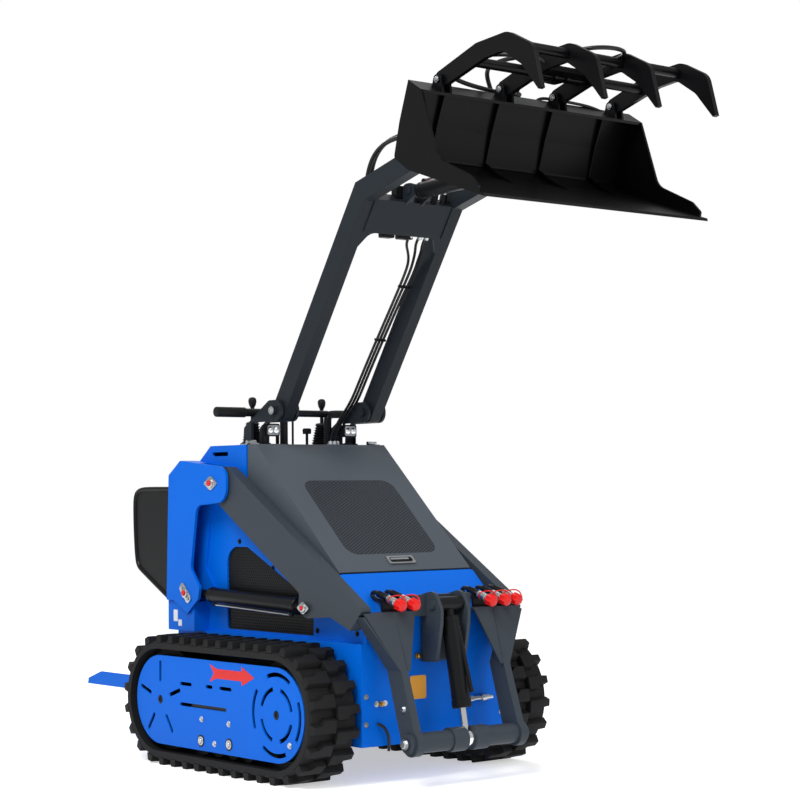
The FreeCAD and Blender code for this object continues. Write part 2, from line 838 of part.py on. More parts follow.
# Hood: a sloping sheet with side skirts, hinged along its rear edge
hood_rear = d.deck_front + d.hood_gap
hood_front_sheet = side_plate("hood_front_sheet", [
    (hood_rear, hood_top_height),
    (d.hood_top_front, hood_top_height),
    (d.hood_foot_front, d.hood_foot_height),
    (d.hood_foot_front - 4, d.hood_foot_height - 4),
    (d.hood_top_front - 2, hood_top_height - d.hood_sheet),
    (hood_rear, hood_top_height - d.hood_sheet),
], -d.hood_half_width, d.hood_half_width)
skirt_outline = [
    (hood_rear, hood_top_height),
    (d.hood_top_front, hood_top_height),
    (d.hood_foot_front, d.hood_foot_height),
    (d.hood_foot_front - 14, d.hood_side_front_foot),
    (hood_rear, hood_side_rear_foot),
]
skirts = [side_plate("hood_skirt_right", skirt_outline, d.hood_half_width - d.hood_sheet,
                     d.hood_half_width),
          side_plate("hood_skirt_left", skirt_outline, -d.hood_half_width,
                     d.hood_sheet - d.hood_half_width)]


# A plate that lies along the hood's slope, in the slope's own frame
def slope_plate(name, outline, near, far):
    item = pad(name, "XY", outline, near, far, local=True)
    item.Placement = FreeCAD.Placement(Vector(), FreeCAD.Rotation(Vector(0, 1, 0), 40))
    place(item, d.hood_top_front, 0, hood_top_height)
    return bind(item, "Placement.Rotation.Angle", turn_of(slope_drop, slope_run))


def grille_outline(inset):
    side = d.grille_half_width - inset
    corner = d.grille_corner
    return [(d.grille_start + inset, -side, corner), (d.grille_start + inset, side, corner),
            (d.grille_end - inset, side, corner), (d.grille_end - inset, -side, corner)]


grille_hole = slope_plate("grille_hole", grille_outline(0), -d.hood_sheet * 3, d.hood_sheet)
node("hood_panel", cut("hood_panel", fuse("hood_shell", [hood_front_sheet] + skirts),
                       [grille_hole]))
grille_low = -d.hood_sheet
grille_plate = slope_plate("grille_plate", grille_outline(d.running_gap), grille_low + 0.5,
                           grille_low + 0.5 + d.grille_thickness)
node("hood_grille", grille_plate)
latch_middle = (d.grille_end + slope_length) / 2 - 4
latch = slope_plate("hood_latch", [
    (latch_middle - 17, -55, 5), (latch_middle + 17, -55, 5),
    (latch_middle + 17, 55, 5), (latch_middle - 17, 55, 5)], 0, 7)
node("hood_latch", latch)

# Two butt hinges carry the hood: one leaf and the pin on the deck, one leaf
# with the knuckle on the hood
hinge_x = d.deck_front + d.hood_gap / 2
hinge_z = d.deck_height + 1 + d.hinge_radius
deck_leaves, hood_leaves = [], []
for word, sign in (("right", -1), ("left", 1)):
    y = d.hinge_start * sign

    def strip(low, high, y=y, sign=sign):
        ends = (y + low, y + high) if sign > 0 else (y - high, y - low)
        return ends

    y0, y1 = strip(0, 37)
    k0, k1 = strip(9, 28)
    pin_bar = cross_bar("hinge_rod_" + word, hinge_x, hinge_z, y0, y1, d.hinge_pin_radius)
    ends = []
    for label, low, high in (("near", 0, 8.5), ("far", 28.5, 37)):
        e0, e1 = strip(low, high)
        ends.append(cross_bar("hinge_end_%s_%s" % (label, word), hinge_x, hinge_z, e0, e1,
                              d.hinge_radius))
        ends.append(box("hinge_tab_%s_%s" % (label, word), hinge_x - 12, hinge_x, e0, e1,
                        d.deck_height, d.deck_height + 3))
    leaf = box("deck_leaf_" + word, hinge_x - 40, hinge_x - 8, y0, y1, d.deck_height,
               d.deck_height + 3)
    deck_leaves.append(fuse("deck_hinge_" + word, [pin_bar, leaf] + ends))
    knuckle = cross_bar("hood_knuckle_" + word, hinge_x, hinge_z, k0, k1, d.hinge_radius)
    leaf = box("hood_leaf_" + word, hinge_x, hinge_x + 34, k0, k1, hood_top_height,
               hood_top_height + 3)
    bore = cross_bar("hood_bore_" + word, hinge_x, hinge_z, k0 - 1, k1 + 1,
                     d.hinge_pin_radius + d.running_gap / 5)
    hood_leaves.append(cut("hood_hinge_" + word, fuse("hood_leaf_solid_" + word,
                                                      [knuckle, leaf]), [bore]))
node("deck_hinges", group("deck_hinges", deck_leaves))
node("hood_hinges", group("hood_hinges", hood_leaves))

# Towers: an outer and an inner plate joined at the back, with both pins
tower_inner = d.tower_outer - d.tower_plate
inner_plate_outer = d.body_half_width + d.inner_tower_plate
tower_outline = [
    (fx - 124, fz - 28, 6), (px - 266, pz + 32, 8), (px - 191, pz + 82, 14),
    (px + 93, pz + 54, 48), (px + 93, pz - 62, 52), (px - 90, pz - 74, 34),
    (fx + 31, fz + 84, 30), (fx + 86, fz + 21, 14), (fx + 76, fz - 19, 8),
    (fx + 7, fz - 72, 5), (fx - 77, fz - 28, 6),
]
tower_skin = side_plate("tower_skin", tower_outline, tower_inner, d.tower_outer)
tower_back = side_plate("tower_back", tower_outline, d.body_half_width, inner_plate_outer)
tower_web = side_plate("tower_web", [(fx - 124, fz - 28), (px - 266, pz + 32),
                                     (px - 258, pz + 29), (fx - 116, fz - 28)],
                       inner_plate_outer, tower_inner)
tower_cap = side_plate("tower_cap", [(px - 266, pz + 32), (px - 191, pz + 82),
                                     (px - 90, pz + 72), (px - 90, pz + 64),
                                     (px - 189, pz + 73), (px - 258, pz + 27)],
                       inner_plate_outer, tower_inner)
tower_foot = box("tower_foot", d.tub_rear, fx + 38, -tower_inner, -d.body_half_width,
                 d.tub_top, fz - 30)
lift_pin = cross_bar("lift_pin", px, pz,
                     -d.tower_outer - 6, -d.body_half_width, d.lift_pin_radius)
ram_pin = cross_bar("ram_pin", fx, fz,
                    -d.tower_outer - 6, -d.body_half_width, d.ram_pin_radius)
both_sides("tower", fuse("tower", [tower_skin, tower_back, tower_web, tower_cap, tower_foot,
                                   lift_pin, ram_pin]))

# Lift arms: a deep bar down to the knee, a lug for the ram, and a leg that
# leans inward to the front tube, with a gusset across its front
arm_inner = d.arm_outer - d.arm_thickness
arm_middle = (d.arm_outer + arm_inner) / 2
arm_outline = [
    (px - pr, pz - pr, pr * 0.98), (px - pr, pz + pr, pr * 0.98),
    (px + pr + 20, pz + pr, 25), (d.knee_front, d.knee_height, 12),
    (d.knee_front - 62, d.knee_height - 66), (d.knee_front - 165, d.knee_height - 28, 20),
    (lx, lz - 34, 30), (lx - 40, lz - 4, 24), (lx - 34, lz + 46, 12), (px + 5, pz - pr, 20),
]
arm_beam = side_plate("arm_beam", arm_outline, arm_inner, d.arm_outer)


def level_sketch(body, name, z, x0, x1, y0, y1):
    sketch = body.newObject("Sketcher::SketchObject", name)
    faces = [item for item in body.Origin.OriginFeatures if item.Role == "XY_Plane"]
    sketch.AttachmentSupport = [(faces[0], "")]
    sketch.MapMode = "FlatFace"
    bind(sketch, "AttachmentOffset.Base.z", z)
    add_outline(sketch, [(x0, y0), (x1, y0), (x1, y1), (x0, y1)], mid_x)
    sketch.Visibility = False
    return sketch


# A leg or gusset: rectangles at a few heights, joined by flat sides
def lofted(name, levels):
    body = doc.addObject("PartDesign::Body", name)
    sketches = [level_sketch(body, "%s_level_%d" % (name, k), *level)
                for k, level in enumerate(levels)]
    loft = body.newObject("PartDesign::AdditiveLoft", name + "_loft")
    loft.Profile = sketches[0]
    loft.Sections = sketches[1:]
    loft.Ruled = True
    return body


leg_inner = d.leg_outer - d.leg_thickness
leg_upper = lofted("leg_upper", [
    (d.knee_height - 22, d.knee_front - 43, d.knee_front, -d.arm_outer, 8 - arm_inner),
    (d.gusset_foot_height, d.knee_front - 12, d.knee_front + 57, -d.leg_outer, -leg_inner)])
leg_lower = lofted("leg_lower", [
    (d.gusset_foot_height, d.knee_front - 12, d.knee_front + 57, -d.leg_outer, -leg_inner),
    (d.tube_height, d.tube_front - 44, d.tube_front + 32, -d.leg_outer, -leg_inner)])
gusset_front = d.knee_front + 1
gusset = lofted("gusset", [
    (d.shelf_height, gusset_front - 8, gusset_front, -d.arm_outer + 6, -d.gusset_top_inner),
    (d.gusset_foot_height, gusset_front + 48, gusset_front + 56, -d.leg_outer,
     -d.gusset_foot_inner)])
shelf = box("shelf", d.shelf_rear, gusset_front, -arm_inner - 6, -d.gusset_top_inner,
            d.shelf_height - 8, d.shelf_height)
leg_eye = cross_bar("leg_eye", d.tube_front, d.tube_height, -d.leg_outer, -leg_inner,
                    d.leg_eye_radius)
lug_head = cross_bar("lug_head", lx, lz, -d.arm_outer - 8, -d.arm_outer + 3, 18)
fork_middle = arm_middle
fork_half = d.rod_fork_gap / 2
fork_slot = box("fork_slot", lx - 90, lx + 42, -fork_middle - fork_half,
                -fork_middle + fork_half, lz - 60, lz + 62)
pivot_hole = cross_bar("pivot_hole", px, pz, -d.arm_outer - 1, -arm_inner + 1,
                       d.lift_pin_radius + d.running_gap)
tube_hole = cross_bar("tube_hole", d.tube_front, d.tube_height, -d.leg_outer - 1,
                      -leg_inner + 1, d.tube_radius)
arm_solid = fuse("arm_solid", [arm_beam, leg_upper, leg_lower, gusset, shelf, leg_eye, lug_head])
both_sides("lift_arm", cut("lift_arm", arm_solid, [fork_slot, pivot_hole, tube_hole]))

# Cross beam with the clevis for the front tilt ram
cx, cz = d.clevis_pin_front, d.clevis_pin_height
cross_box = box("cross_box", d.shelf_rear, d.shelf_rear + 28, -d.gusset_top_inner,
                d.gusset_top_inner, d.shelf_height - 18, d.cross_top)
clevis_half = d.clevis_gap / 2
cross_back = box("cross_back", d.shelf_rear, d.shelf_rear + 8, -clevis_half - d.clevis_plate,
                 clevis_half + d.clevis_plate, d.clevis_foot, d.shelf_height)
clevis_outline = [(d.shelf_rear, d.cross_top), (cx + 6, d.cross_top + 16, 36),
                  (cx + 38, cz - 16, 40), (cx + 36, cz - 60, 60), (cx + 12, d.clevis_foot + 2, 8),
                  (d.shelf_rear, d.clevis_foot)]
clevises = [side_plate("clevis_right", clevis_outline, clevis_half,
                       clevis_half + d.clevis_plate),
            side_plate("clevis_left", clevis_outline, -clevis_half - d.clevis_plate,
                       -clevis_half)]
clevis_pin = cross_bar("clevis_pin", cx, cz, -clevis_half - d.clevis_plate - 8,
                       clevis_half + d.clevis_plate + 8, d.front_pin_radius)
node("cross_beam", fuse("cross_beam", [cross_box, cross_back, clevis_pin] + clevises))

# Front tube with its hubs and the pin for the ram's eye
tx, tz = d.tube_front, d.tube_height
eye_half = d.front_eye_width / 2
tube_parts = [cross_bar("tube_pin", tx, tz, -eye_half - 4, eye_half + 4, d.front_pin_radius)]
for word, sign in (("right", -1), ("left", 1)):
    for label, low, high, radius in (
            ("bar", eye_half + 2, d.leg_outer, d.tube_radius),
            ("end", d.leg_outer - 1, d.tube_half_length, d.tube_end_radius),
            ("hub", eye_half + 2, d.tube_hub_half, d.tube_hub_radius),
            ("bolt", d.tube_half_length, d.tube_half_length + 9, as_size(15))):
        ends = (low, high) if sign > 0 else (-high, -low)
        tube_parts.append(cross_bar("tube_%s_%s" % (label, word), tx, tz, ends[0], ends[1],
                                    radius))
node("front_tube", fuse("front_tube", tube_parts))

# Front tilt ram, parked between the clevis and the tube
front_ram = ((cx, cz), (tx, tz))
front_barrel = fuse("front_barrel_solid", [
    long_bar("front_barrel_tube", *front_ram, 0, d.front_barrel_start, d.front_barrel_end,
             d.front_barrel_radius),
    long_bar("front_barrel_neck", *front_ram, 0, 18, d.front_barrel_start + 2, as_size(17)),
    cross_bar("front_barrel_eye", cx, cz, 2 - clevis_half, clevis_half - 2, as_size(24)),
    long_bar("front_port_tube", (cx + 29, cz - 60), (tx + 29, tz + 90), 14, 0,
             length_of(tx - cx, cz - tz) - 200, as_size(7))])
front_eye_hole = cross_bar("front_eye_hole", cx, cz, -clevis_half, clevis_half,
                           d.front_pin_radius + d.running_gap)
node("front_tilt_barrel", cut("front_tilt_barrel", front_barrel, [front_eye_hole]))
front_span = length_of(tx - cx, cz - tz)
front_rod = fuse("front_rod_solid", [
    long_bar("front_rod_bar", *front_ram, 0, d.front_barrel_end, front_span - 20,
             d.front_rod_radius),
    cross_bar("front_rod_eye", tx, tz, -eye_half, eye_half, as_size(27))])
front_rod_hole = cross_bar("front_rod_hole", tx, tz, -eye_half - 1, eye_half + 1,
                           d.front_pin_radius + d.running_gap)
node("front_tilt_rod", cut("front_tilt_rod", front_rod, [front_rod_hole]))

# Lift rams, one beside each arm
ram = ((fx, fz), (lx, lz))
ram_span = length_of(lx - fx, lz - fz)
ram_end = d.ram_barrel_start + d.ram_barrel_length
eye_reach = d.arm_thickness / 2
barrel_solid = fuse("ram_barrel_solid", [
    long_bar("ram_barrel_tube", *ram, -arm_middle, d.ram_barrel_start, ram_end,
             d.ram_barrel_radius),
    long_bar("ram_barrel_neck", *ram, -arm_middle, 16, d.ram_barrel_start + 2, as_size(15)),
    cross_bar("ram_barrel_eye", fx, fz, -arm_middle - eye_reach, -arm_middle + eye_reach,
              d.ram_eye_radius)])
barrel_cuts = [
    cross_bar("ram_eye_hole", fx, fz, -arm_middle - eye_reach - 1,
              -arm_middle + eye_reach + 1, d.ram_pin_radius + d.running_gap),
    long_bar("ram_bore", *ram, -arm_middle, d.ram_barrel_start + 14, ram_end + 1,
             d.ram_rod_radius + d.running_gap)]
both_sides("lift_barrel", cut("lift_barrel", barrel_solid, barrel_cuts))
rod_solid = fuse("ram_rod_solid", [
    long_bar("ram_rod_bar", *ram, -arm_middle, d.ram_barrel_start + 24, ram_span - 8,
             d.ram_rod_radius),
    cross_bar("ram_rod_eye", lx, lz, -arm_middle - d.rod_eye_width / 2,
              -arm_middle + d.rod_eye_width / 2, d.rod_eye_radius)])
both_sides("lift_rod", cut("lift_rod", rod_solid, [
    cross_bar("ram_rod_hole", lx, lz, -arm_middle - d.rod_eye_width,
              -arm_middle + d.rod_eye_width, d.ram_pin_radius)]))

# Couplers on the shelf, with red caps
coupler_spots = [("a", -210), ("b", -155), ("c", 165), ("d", 225), ("e", 274)]
coupler_parts, cap_parts = [], []
for word, y in coupler_spots:
    line = ((d.knee_front - 75, d.shelf_height + 56), (d.knee_front + 55, d.shelf_height + 18))
    coupler_parts.append(long_bar("coupler_" + word, *line, y, 0, 104, d.coupler_radius))
    cap_parts.append(long_bar("coupler_cap_" + word, *line, y, 104, 134,
                              d.coupler_cap_radius))
for word, y0, y1 in (("right", -228, -138), ("left", 148, 290)):
    coupler_parts.append(box("coupler_rail_" + word, d.shelf_rear + 4, d.shelf_rear + 12, y0,
                              y1, d.shelf_height, d.shelf_height + 40))
node("front_couplers", fuse("front_couplers", coupler_parts))
node("coupler_caps", group("coupler_caps", cap_parts))

# Brackets on the deck that carry the upper boom
boom_inner = d.boom_outer - d.boom_thickness
bracket_foot = d.deck_front - 48
bracket_outline = [(bracket_foot - 48, d.deck_height), (bracket_foot, d.deck_height),
                   (bracket_foot, d.deck_height + 77, 8), (bx + 36, bz - 36, 34),
                   (bx + 36, bz + 36, 34), (bx - 36, bz + 36, 34),
                   (bracket_foot - 44, bz - 52, 14)]
bracket_parts = []
for word, low in (("outer", d.boom_outer + d.boom_clearance),
                  ("inner", boom_inner - d.boom_clearance - d.bracket_plate)):
    bracket_parts.append(side_plate("bracket_" + word, bracket_outline, low,
                                    low + d.bracket_plate))
bracket_inner = boom_inner - d.boom_clearance - d.bracket_plate
bracket_outer = d.boom_outer + d.boom_clearance + d.bracket_plate
bracket_parts.append(box("bracket_foot", bracket_foot - 54, bracket_foot + 4, -bracket_outer - 8,
                         d.bracket_foot_edge - bracket_inner, d.deck_height,
                         d.deck_height + 8))
bracket_parts.append(cross_bar("bracket_pin", bx, bz, -bracket_outer - 8, 8 - bracket_inner,
                               d.boom_pin_radius))
both_sides("boom_bracket", fuse("boom_bracket", bracket_parts))

# Upper boom arms
boom_half = d.boom_depth / 2
boom_arm = side_plate("boom_arm_bar", band([(bx, bz), (kx, kz), (ex, ez)], boom_half),
                      boom_inner, d.boom_outer)
boom_hole = cross_bar("boom_hole", bx, bz, -d.boom_outer - 1, 1 - boom_inner,
                      d.boom_pin_radius + d.running_gap)
lug_outer = boom_inner - d.boom_clearance
lug_inner = lug_outer - d.bucket_lug_plate
tip_pin = cross_bar("tip_pin", ex, ez, -d.boom_outer - 8, 6 - lug_inner, d.boom_pin_radius)
both_sides("boom_arm", fuse("boom_arm", [cut("boom_arm_bored", boom_arm, [boom_hole]),
                                         tip_pin]))

# Cross plate between the arms at the knee, flush with their front faces
rise_x, rise_z = kx - bx, kz - bz
rise = length_of(rise_x, rise_z)
ux, uz = rise_x / rise, rise_z / rise
tip_x, tip_z = ex - kx, ez - kz
tip_run = length_of(tip_x, tip_z)
wx, wz = tip_x / tip_run, tip_z / tip_run
knee_share = boom_half / (1 + ux * wx + uz * wz)
inner_knee = (kx + (uz + wz) * knee_share, kz - (ux + wx) * knee_share)
arch = d.boom_cross_length
cross_plate = pad("boom_cross_plate", "XY", [
    (-arch - 54, -boom_inner), (-arch, 30 - boom_inner, 40), (-arch, boom_inner - 30, 40),
    (-arch - 54, boom_inner), (0, boom_inner), (0, -boom_inner)], 0, d.boom_cross_plate,
    local=True)
cross_plate.Placement = FreeCAD.Placement(Vector(), FreeCAD.Rotation(Vector(0, -1, 0), 50))
place(cross_plate, inner_knee[0], 0, inner_knee[1])
bind(cross_plate, "Placement.Rotation.Angle", turn_of(rise_z, rise_x))
top_plate = side_plate("boom_top_plate", [
    (inner_knee[0], inner_knee[1]), (inner_knee[0] - uz * 8, inner_knee[1] + ux * 8),
    (inner_knee[0] - uz * 50, inner_knee[1] + ux * 50),
    (inner_knee[0] - uz * 50 + ux * 8, inner_knee[1] + ux * 50 + uz * 8),
    (inner_knee[0] + ux * 8, inner_knee[1] + uz * 8)], -boom_inner, boom_inner)
back = d.torsion_tube_back
torsion = cross_bar("torsion_tube", ex - wx * back, ez - wz * back, -boom_inner, boom_inner,
                    d.torsion_tube_radius)
tilt_eye_half = as_size(24)
tilt_clevis_outline = [
    (inner_knee[0] - uz * 44, inner_knee[1] + ux * 44), (inner_knee[0], inner_knee[1]),
    (qx + 24, qz - 20, 18), (qx + 24, qz + 24, 22), (qx - 24, qz + 24, 22)]
tilt_clevises = [side_plate("tilt_clevis_right", tilt_clevis_outline, tilt_eye_half + 3,
                            tilt_eye_half + 13),
                 side_plate("tilt_clevis_left", tilt_clevis_outline, -tilt_eye_half - 13,
                            -tilt_eye_half - 3)]
tilt_pin = cross_bar("tilt_pin", qx, qz, -tilt_eye_half - 18, tilt_eye_half + 18,
                     d.ram_pin_radius)
node("boom_cross", group("boom_cross", [
    fuse("boom_cross_knee", [cross_plate, top_plate, tilt_pin] + tilt_clevises), torsion]))

# Bucket: a bent sheet, two side plates, ribs inside and lugs behind
bucket_sheet = d.bucket_sheet
skin = side_plate("bucket_skin", [
    (bucket_lip[0], bucket_lip[1]),
    (bucket_top[0], bucket_top[1]),
    (bucket_heel[0] + 27, bucket_heel[1] + 103, 60),
    (bucket_heel[0], bucket_heel[1], 14),
    (bucket_floor[0], bucket_floor[1], 14),
    (bucket_edge[0], bucket_edge[1]),
    (bucket_edge[0] - 2, bucket_edge[1] + 9),
    (bucket_floor[0] + 3, bucket_floor[1] + bucket_sheet, 8),
    (bucket_heel[0] + bucket_sheet, bucket_heel[1] + 3, 8),
    (bucket_heel[0] + 27 + bucket_sheet, bucket_heel[1] + 102, 60),
    (bucket_top[0] + bucket_sheet - 2, bucket_top[1] - 11),
    (bucket_lip[0] - 4, bucket_lip[1] - 8),
], -d.bucket_half_width, d.bucket_half_width)
cheek_outline = [
    (bucket_lip[0], bucket_lip[1]),
    (bucket_top[0], bucket_top[1]),
    (bucket_heel[0] + 27, bucket_heel[1] + 103, 60),
    (bucket_heel[0], bucket_heel[1], 14),
    (bucket_floor[0], bucket_floor[1], 14),
    (bucket_edge[0] - 29, bucket_edge[1] + 10),
    (bucket_edge[0] - 24, bucket_edge[1] + 32, 10),
    (bucket_edge[0] - 58, bucket_edge[1] + 66, 30),
    (bucket_lip[0] + 70, bucket_lip[1] - 210, 60),
]
half_bucket = d.bucket_half_width
cheeks = [side_plate("cheek_right", cheek_outline, half_bucket - bucket_sheet, half_bucket),
          side_plate("cheek_left", cheek_outline, -half_bucket, bucket_sheet - half_bucket)]
node("bucket_shell", fuse("bucket_shell", [skin] + cheeks))

floor_run = bucket_edge[0] - bucket_floor[0] - 5
floor_fall = bucket_edge[1] - bucket_floor[1] + 1
floor_share = d.rib_floor_run / length_of(floor_run, floor_fall)
rib_line = [
    (bucket_top[0] + bucket_sheet - 2, bucket_top[1] - 11),
    (bucket_heel[0] + 27 + bucket_sheet, bucket_heel[1] + 102),
    (bucket_heel[0] + bucket_sheet, bucket_heel[1] + 3),
    (bucket_floor[0] + 3, bucket_floor[1] + bucket_sheet),
    (bucket_floor[0] + 3 + floor_run * floor_share,
     bucket_floor[1] + bucket_sheet + floor_fall * floor_share),
]


# One straight strip of a rib, standing off the bucket's wall on its inner side
def rib_strip(name, start, stop, y):
    run, fall = stop[0] - start[0], stop[1] - start[1]
    span = length_of(run, fall)
    ux, uz = run / span, fall / span
    corners = []
    for along, off in ((d.rib_end_gap, d.running_gap), (span - d.rib_end_gap, d.running_gap),
                       (span - d.rib_end_gap - 12, d.rib_depth),
                       (d.rib_end_gap + 12, d.rib_depth)):
        corners.append((start[0] + ux * along - uz * off, start[1] + uz * along + ux * off))
    return side_plate(name, corners, y - d.rib_half_thickness, y + d.rib_half_thickness)


ribs = []
rib_row = half_bucket - d.tine_inner_place - 20
for word, y in (("a", -rib_row), ("b", -d.tine_inner_place), ("c", d.tine_inner_place),
                ("d", rib_row)):
    for k in range(4):
        ribs.append(rib_strip("rib_%s_%d" % (word, k), rib_line[k], rib_line[k + 1], y))
node("bucket_ribs", group("bucket_ribs", ribs))

# Lugs behind the bucket that ride on the boom's tip pins, and the tilt lug
hanger_outline = [
    (bucket_heel[0], bucket_heel[1] + 4), (bucket_top[0] - 18, ez + 60),
    (ex - 6, ez + 34, 30), (ex - 32, ez - 4, 28), (ex - 16, ez - 50, 20)]
hanger_hole = (ex, ez, d.boom_pin_radius + d.running_gap)
hangers = [side_plate("hanger_right", hanger_outline, lug_inner, lug_outer,
                      holes=[hanger_hole]),
           side_plate("hanger_left", hanger_outline, -lug_outer, -lug_inner,
                      holes=[hanger_hole])]
tilt_lug_outline = [
    (bucket_heel[0] + 30, bucket_heel[1] + 48), (gx, gz + 32, 20),
    (gx - 28, gz + 4, 24), (gx - 6, gz - 28, 22),
    (bucket_heel[0] + 30, bucket_heel[1] - 14)]
tilt_lugs = [side_plate("tilt_lug_right", tilt_lug_outline, as_size(18), as_size(28)),
             side_plate("tilt_lug_left", tilt_lug_outline, as_size(-28), as_size(-18))]
ram_lug_outline = [
    (bucket_top[0] - 20, bucket_top[1] - 40), (hx + 4, hz + 24, 18), (hx - 24, hz, 18),
    (hx, hz - 24, 18), (bucket_heel[0] + 50, bucket_heel[1] + 80)]
ram_lugs = [side_plate("ram_lug_right", ram_lug_outline, as_size(27), as_size(35)),
            side_plate("ram_lug_left", ram_lug_outline, as_size(-35), as_size(-27))]
ram_lug_pin = cross_bar("ram_lug_pin", hx, hz, as_size(-40), as_size(40), d.grapple_pin_radius)
eye_heads = [cross_bar("tilt_eye_head_" + word, gx, gz, as_size(y0), as_size(y1),
                       d.ram_pin_radius)
             for word, y0, y1 in (("right", -35, -18), ("left", 18, 35))]
node("bucket_lugs", cut("bucket_lugs", fuse("bucket_lug_solid", hangers + tilt_lugs + ram_lugs
                                            + eye_heads + [ram_lug_pin]),
                        [side_plate("bucket_lug_trim", [
                            (bucket_lip[0], bucket_lip[1]),
                            (bucket_top[0], bucket_top[1]),
                            (bucket_heel[0] + 27, bucket_heel[1] + 103, 60),
                            (bucket_heel[0], bucket_heel[1], 14),
                            (bucket_floor[0], bucket_floor[1], 14),
                            (bucket_edge[0], bucket_edge[1]),
                        ], as_size(-200), as_size(200))]))

# Hinge blocks on the bucket's top edge
tine_half = d.tine_thickness / 2
hinge_outline = [(vx - 25, bucket_top[1] - 8), (vx - 16, vz + 16, 14),
                 (vx + 16, vz + 16, 14), (vx + 22, bucket_lip[1])]
hinge_parts = []
tine_places = [("a", -d.tine_outer_place), ("b", -d.tine_inner_place),
               ("c", d.tine_inner_place), ("d", d.tine_outer_place)]
for word, y in tine_places:
    for label, low in (("near", y - tine_half - 11), ("far", y + tine_half + 3)):
        hinge_parts.append(side_plate("hinge_%s_%s" % (label, word), hinge_outline,
                                      low, low + 8))
    hinge_parts.append(cross_bar("hinge_pin_" + word, vx, vz, -y - tine_half - 14,
                                 -y + tine_half + 14, d.grapple_pin_radius))
hinge_trim = side_plate("hinge_trim", [
    (bucket_lip[0], bucket_lip[1]), (bucket_top[0], bucket_top[1]),
    (bucket_top[0], bucket_top[1] - 120),
    (bucket_lip[0], bucket_lip[1] - 120)], -half_bucket, half_bucket)
node("grapple_hinges", cut("grapple_hinges", fuse("hinge_solid", hinge_parts), [hinge_trim]))

# Grapple: four tines joined by two tubes, with a yoke for its ram
tip = (vx + d.tine_tip_reach, vz - d.tine_tip_drop)
tine_outline = [
    (vx - 22, vz - 20, 18), (vx - 22, vz + 22, 18), (vx + 160, vz + 80, 60),
    (vx + 295, vz + 90, 60), (tip[0] - 34, tip[1] + 128, 50), tip, (tip[0] - 12, tip[1] - 3),
    (tip[0] - 80, tip[1] + 78, 46), (vx + 275, vz + 38, 46), (vx + 195, vz + 30, 40),
    (vx + 20, vz - 20, 16)]
tines = [side_plate("tine_" + word, tine_outline, y - tine_half, y + tine_half)
         for word, y in tine_places]
links = [cross_bar("tine_tube_front", vx + 280, vz + 60, -d.tine_outer_place,
                   d.tine_outer_place, as_size(15)),
         cross_bar("tine_tube_rear", vx + 120, vz + 36, -d.tine_outer_place,
                   d.tine_outer_place, as_size(15))]
crank_outline = [(jx - 16, jz + 16, 14), (jx + 16, jz + 16, 14), (vx + 140, vz + 58, 12),
                 (vx + 140, vz + 20, 10), (vx + 70, vz + 20, 10), (jx - 14, jz - 16, 12)]
cranks = [side_plate("crank_right", crank_outline, as_size(20), as_size(30)),
          side_plate("crank_left", crank_outline, as_size(-30), as_size(-20))]
yoke = box("yoke", vx + 80, vx + 200, -d.tine_inner_place, d.tine_inner_place, vz + 28, vz + 44)
crank_heads = [cross_bar("crank_head_" + word, jx, jz, as_size(y0), as_size(y1),
                         d.grapple_pin_radius)
               for word, y0, y1 in (("right", -36, -20), ("left", 20, 36))]
grapple_solid = fuse("grapple_solid", tines + links + cranks + crank_heads + [yoke])
node("grapple_frame", cut("grapple_frame", grapple_solid, [
    cross_bar("tine_hole_%s" % word, vx, vz, -y - tine_half - 1, -y + tine_half + 1,
              d.grapple_pin_radius + d.running_gap) for word, y in tine_places]))


# A short ram across two pins: the barrel turns on the first pin, and the rod's
# eye lies at the second
def small_ram(name, foot, eye, barrel, rod, barrel_end, eye_width, pin_radius, start,
              rod_start):
    span = length_of(as_size(eye[0]) - foot[0], as_size(eye[1]) - foot[1])
    half = as_size(eye_width) / 2
    solid = fuse(name + "_barrel_solid", [
        long_bar(name + "_tube", foot, eye, 0, start, barrel_end, barrel),
        cross_bar(name + "_foot", foot[0], foot[1], -half, half, barrel * 0.85)])
    holes = [cross_bar(name + "_foot_hole", foot[0], foot[1], -half - 1, half + 1,
                       pin_radius + d.running_gap),
             long_bar(name + "_bore", foot, eye, 0, start + 8, barrel_end + 1,
                      rod + d.running_gap)]
    barrel_item = cut(name + "_barrel", solid, holes)
    rod_solid = fuse(name + "_rod_solid", [
        long_bar(name + "_rod_bar", foot, eye, 0, rod_start, span - 8, rod),
        cross_bar(name + "_rod_eye", eye[0], eye[1], -half * 0.6, half * 0.6, rod + 6)])
    rod_item = cut(name + "_rod", rod_solid, [
        cross_bar(name + "_rod_hole", eye[0], eye[1], -half, half, pin_radius * 0.8)])
    return barrel_item, rod_item


tilt_barrel, tilt_rod = small_ram("tilt", (qx, qz), (gx, gz), d.tilt_barrel_radius,
                                  d.tilt_rod_radius, as_size(290), 48, d.ram_pin_radius,
                                  as_size(16), as_size(92))
node("tilt_barrel", tilt_barrel)
node("tilt_rod", tilt_rod)
grapple_barrel, grapple_rod = small_ram("grapple", (hx, hz), (jx, jz),
                                        d.grapple_barrel_radius, d.grapple_rod_radius,
                                        as_size(115), 46, d.grapple_pin_radius,
                                        as_size(12), as_size(71))
node("grapple_barrel", grapple_barrel)
node("grapple_rod", grapple_rod)

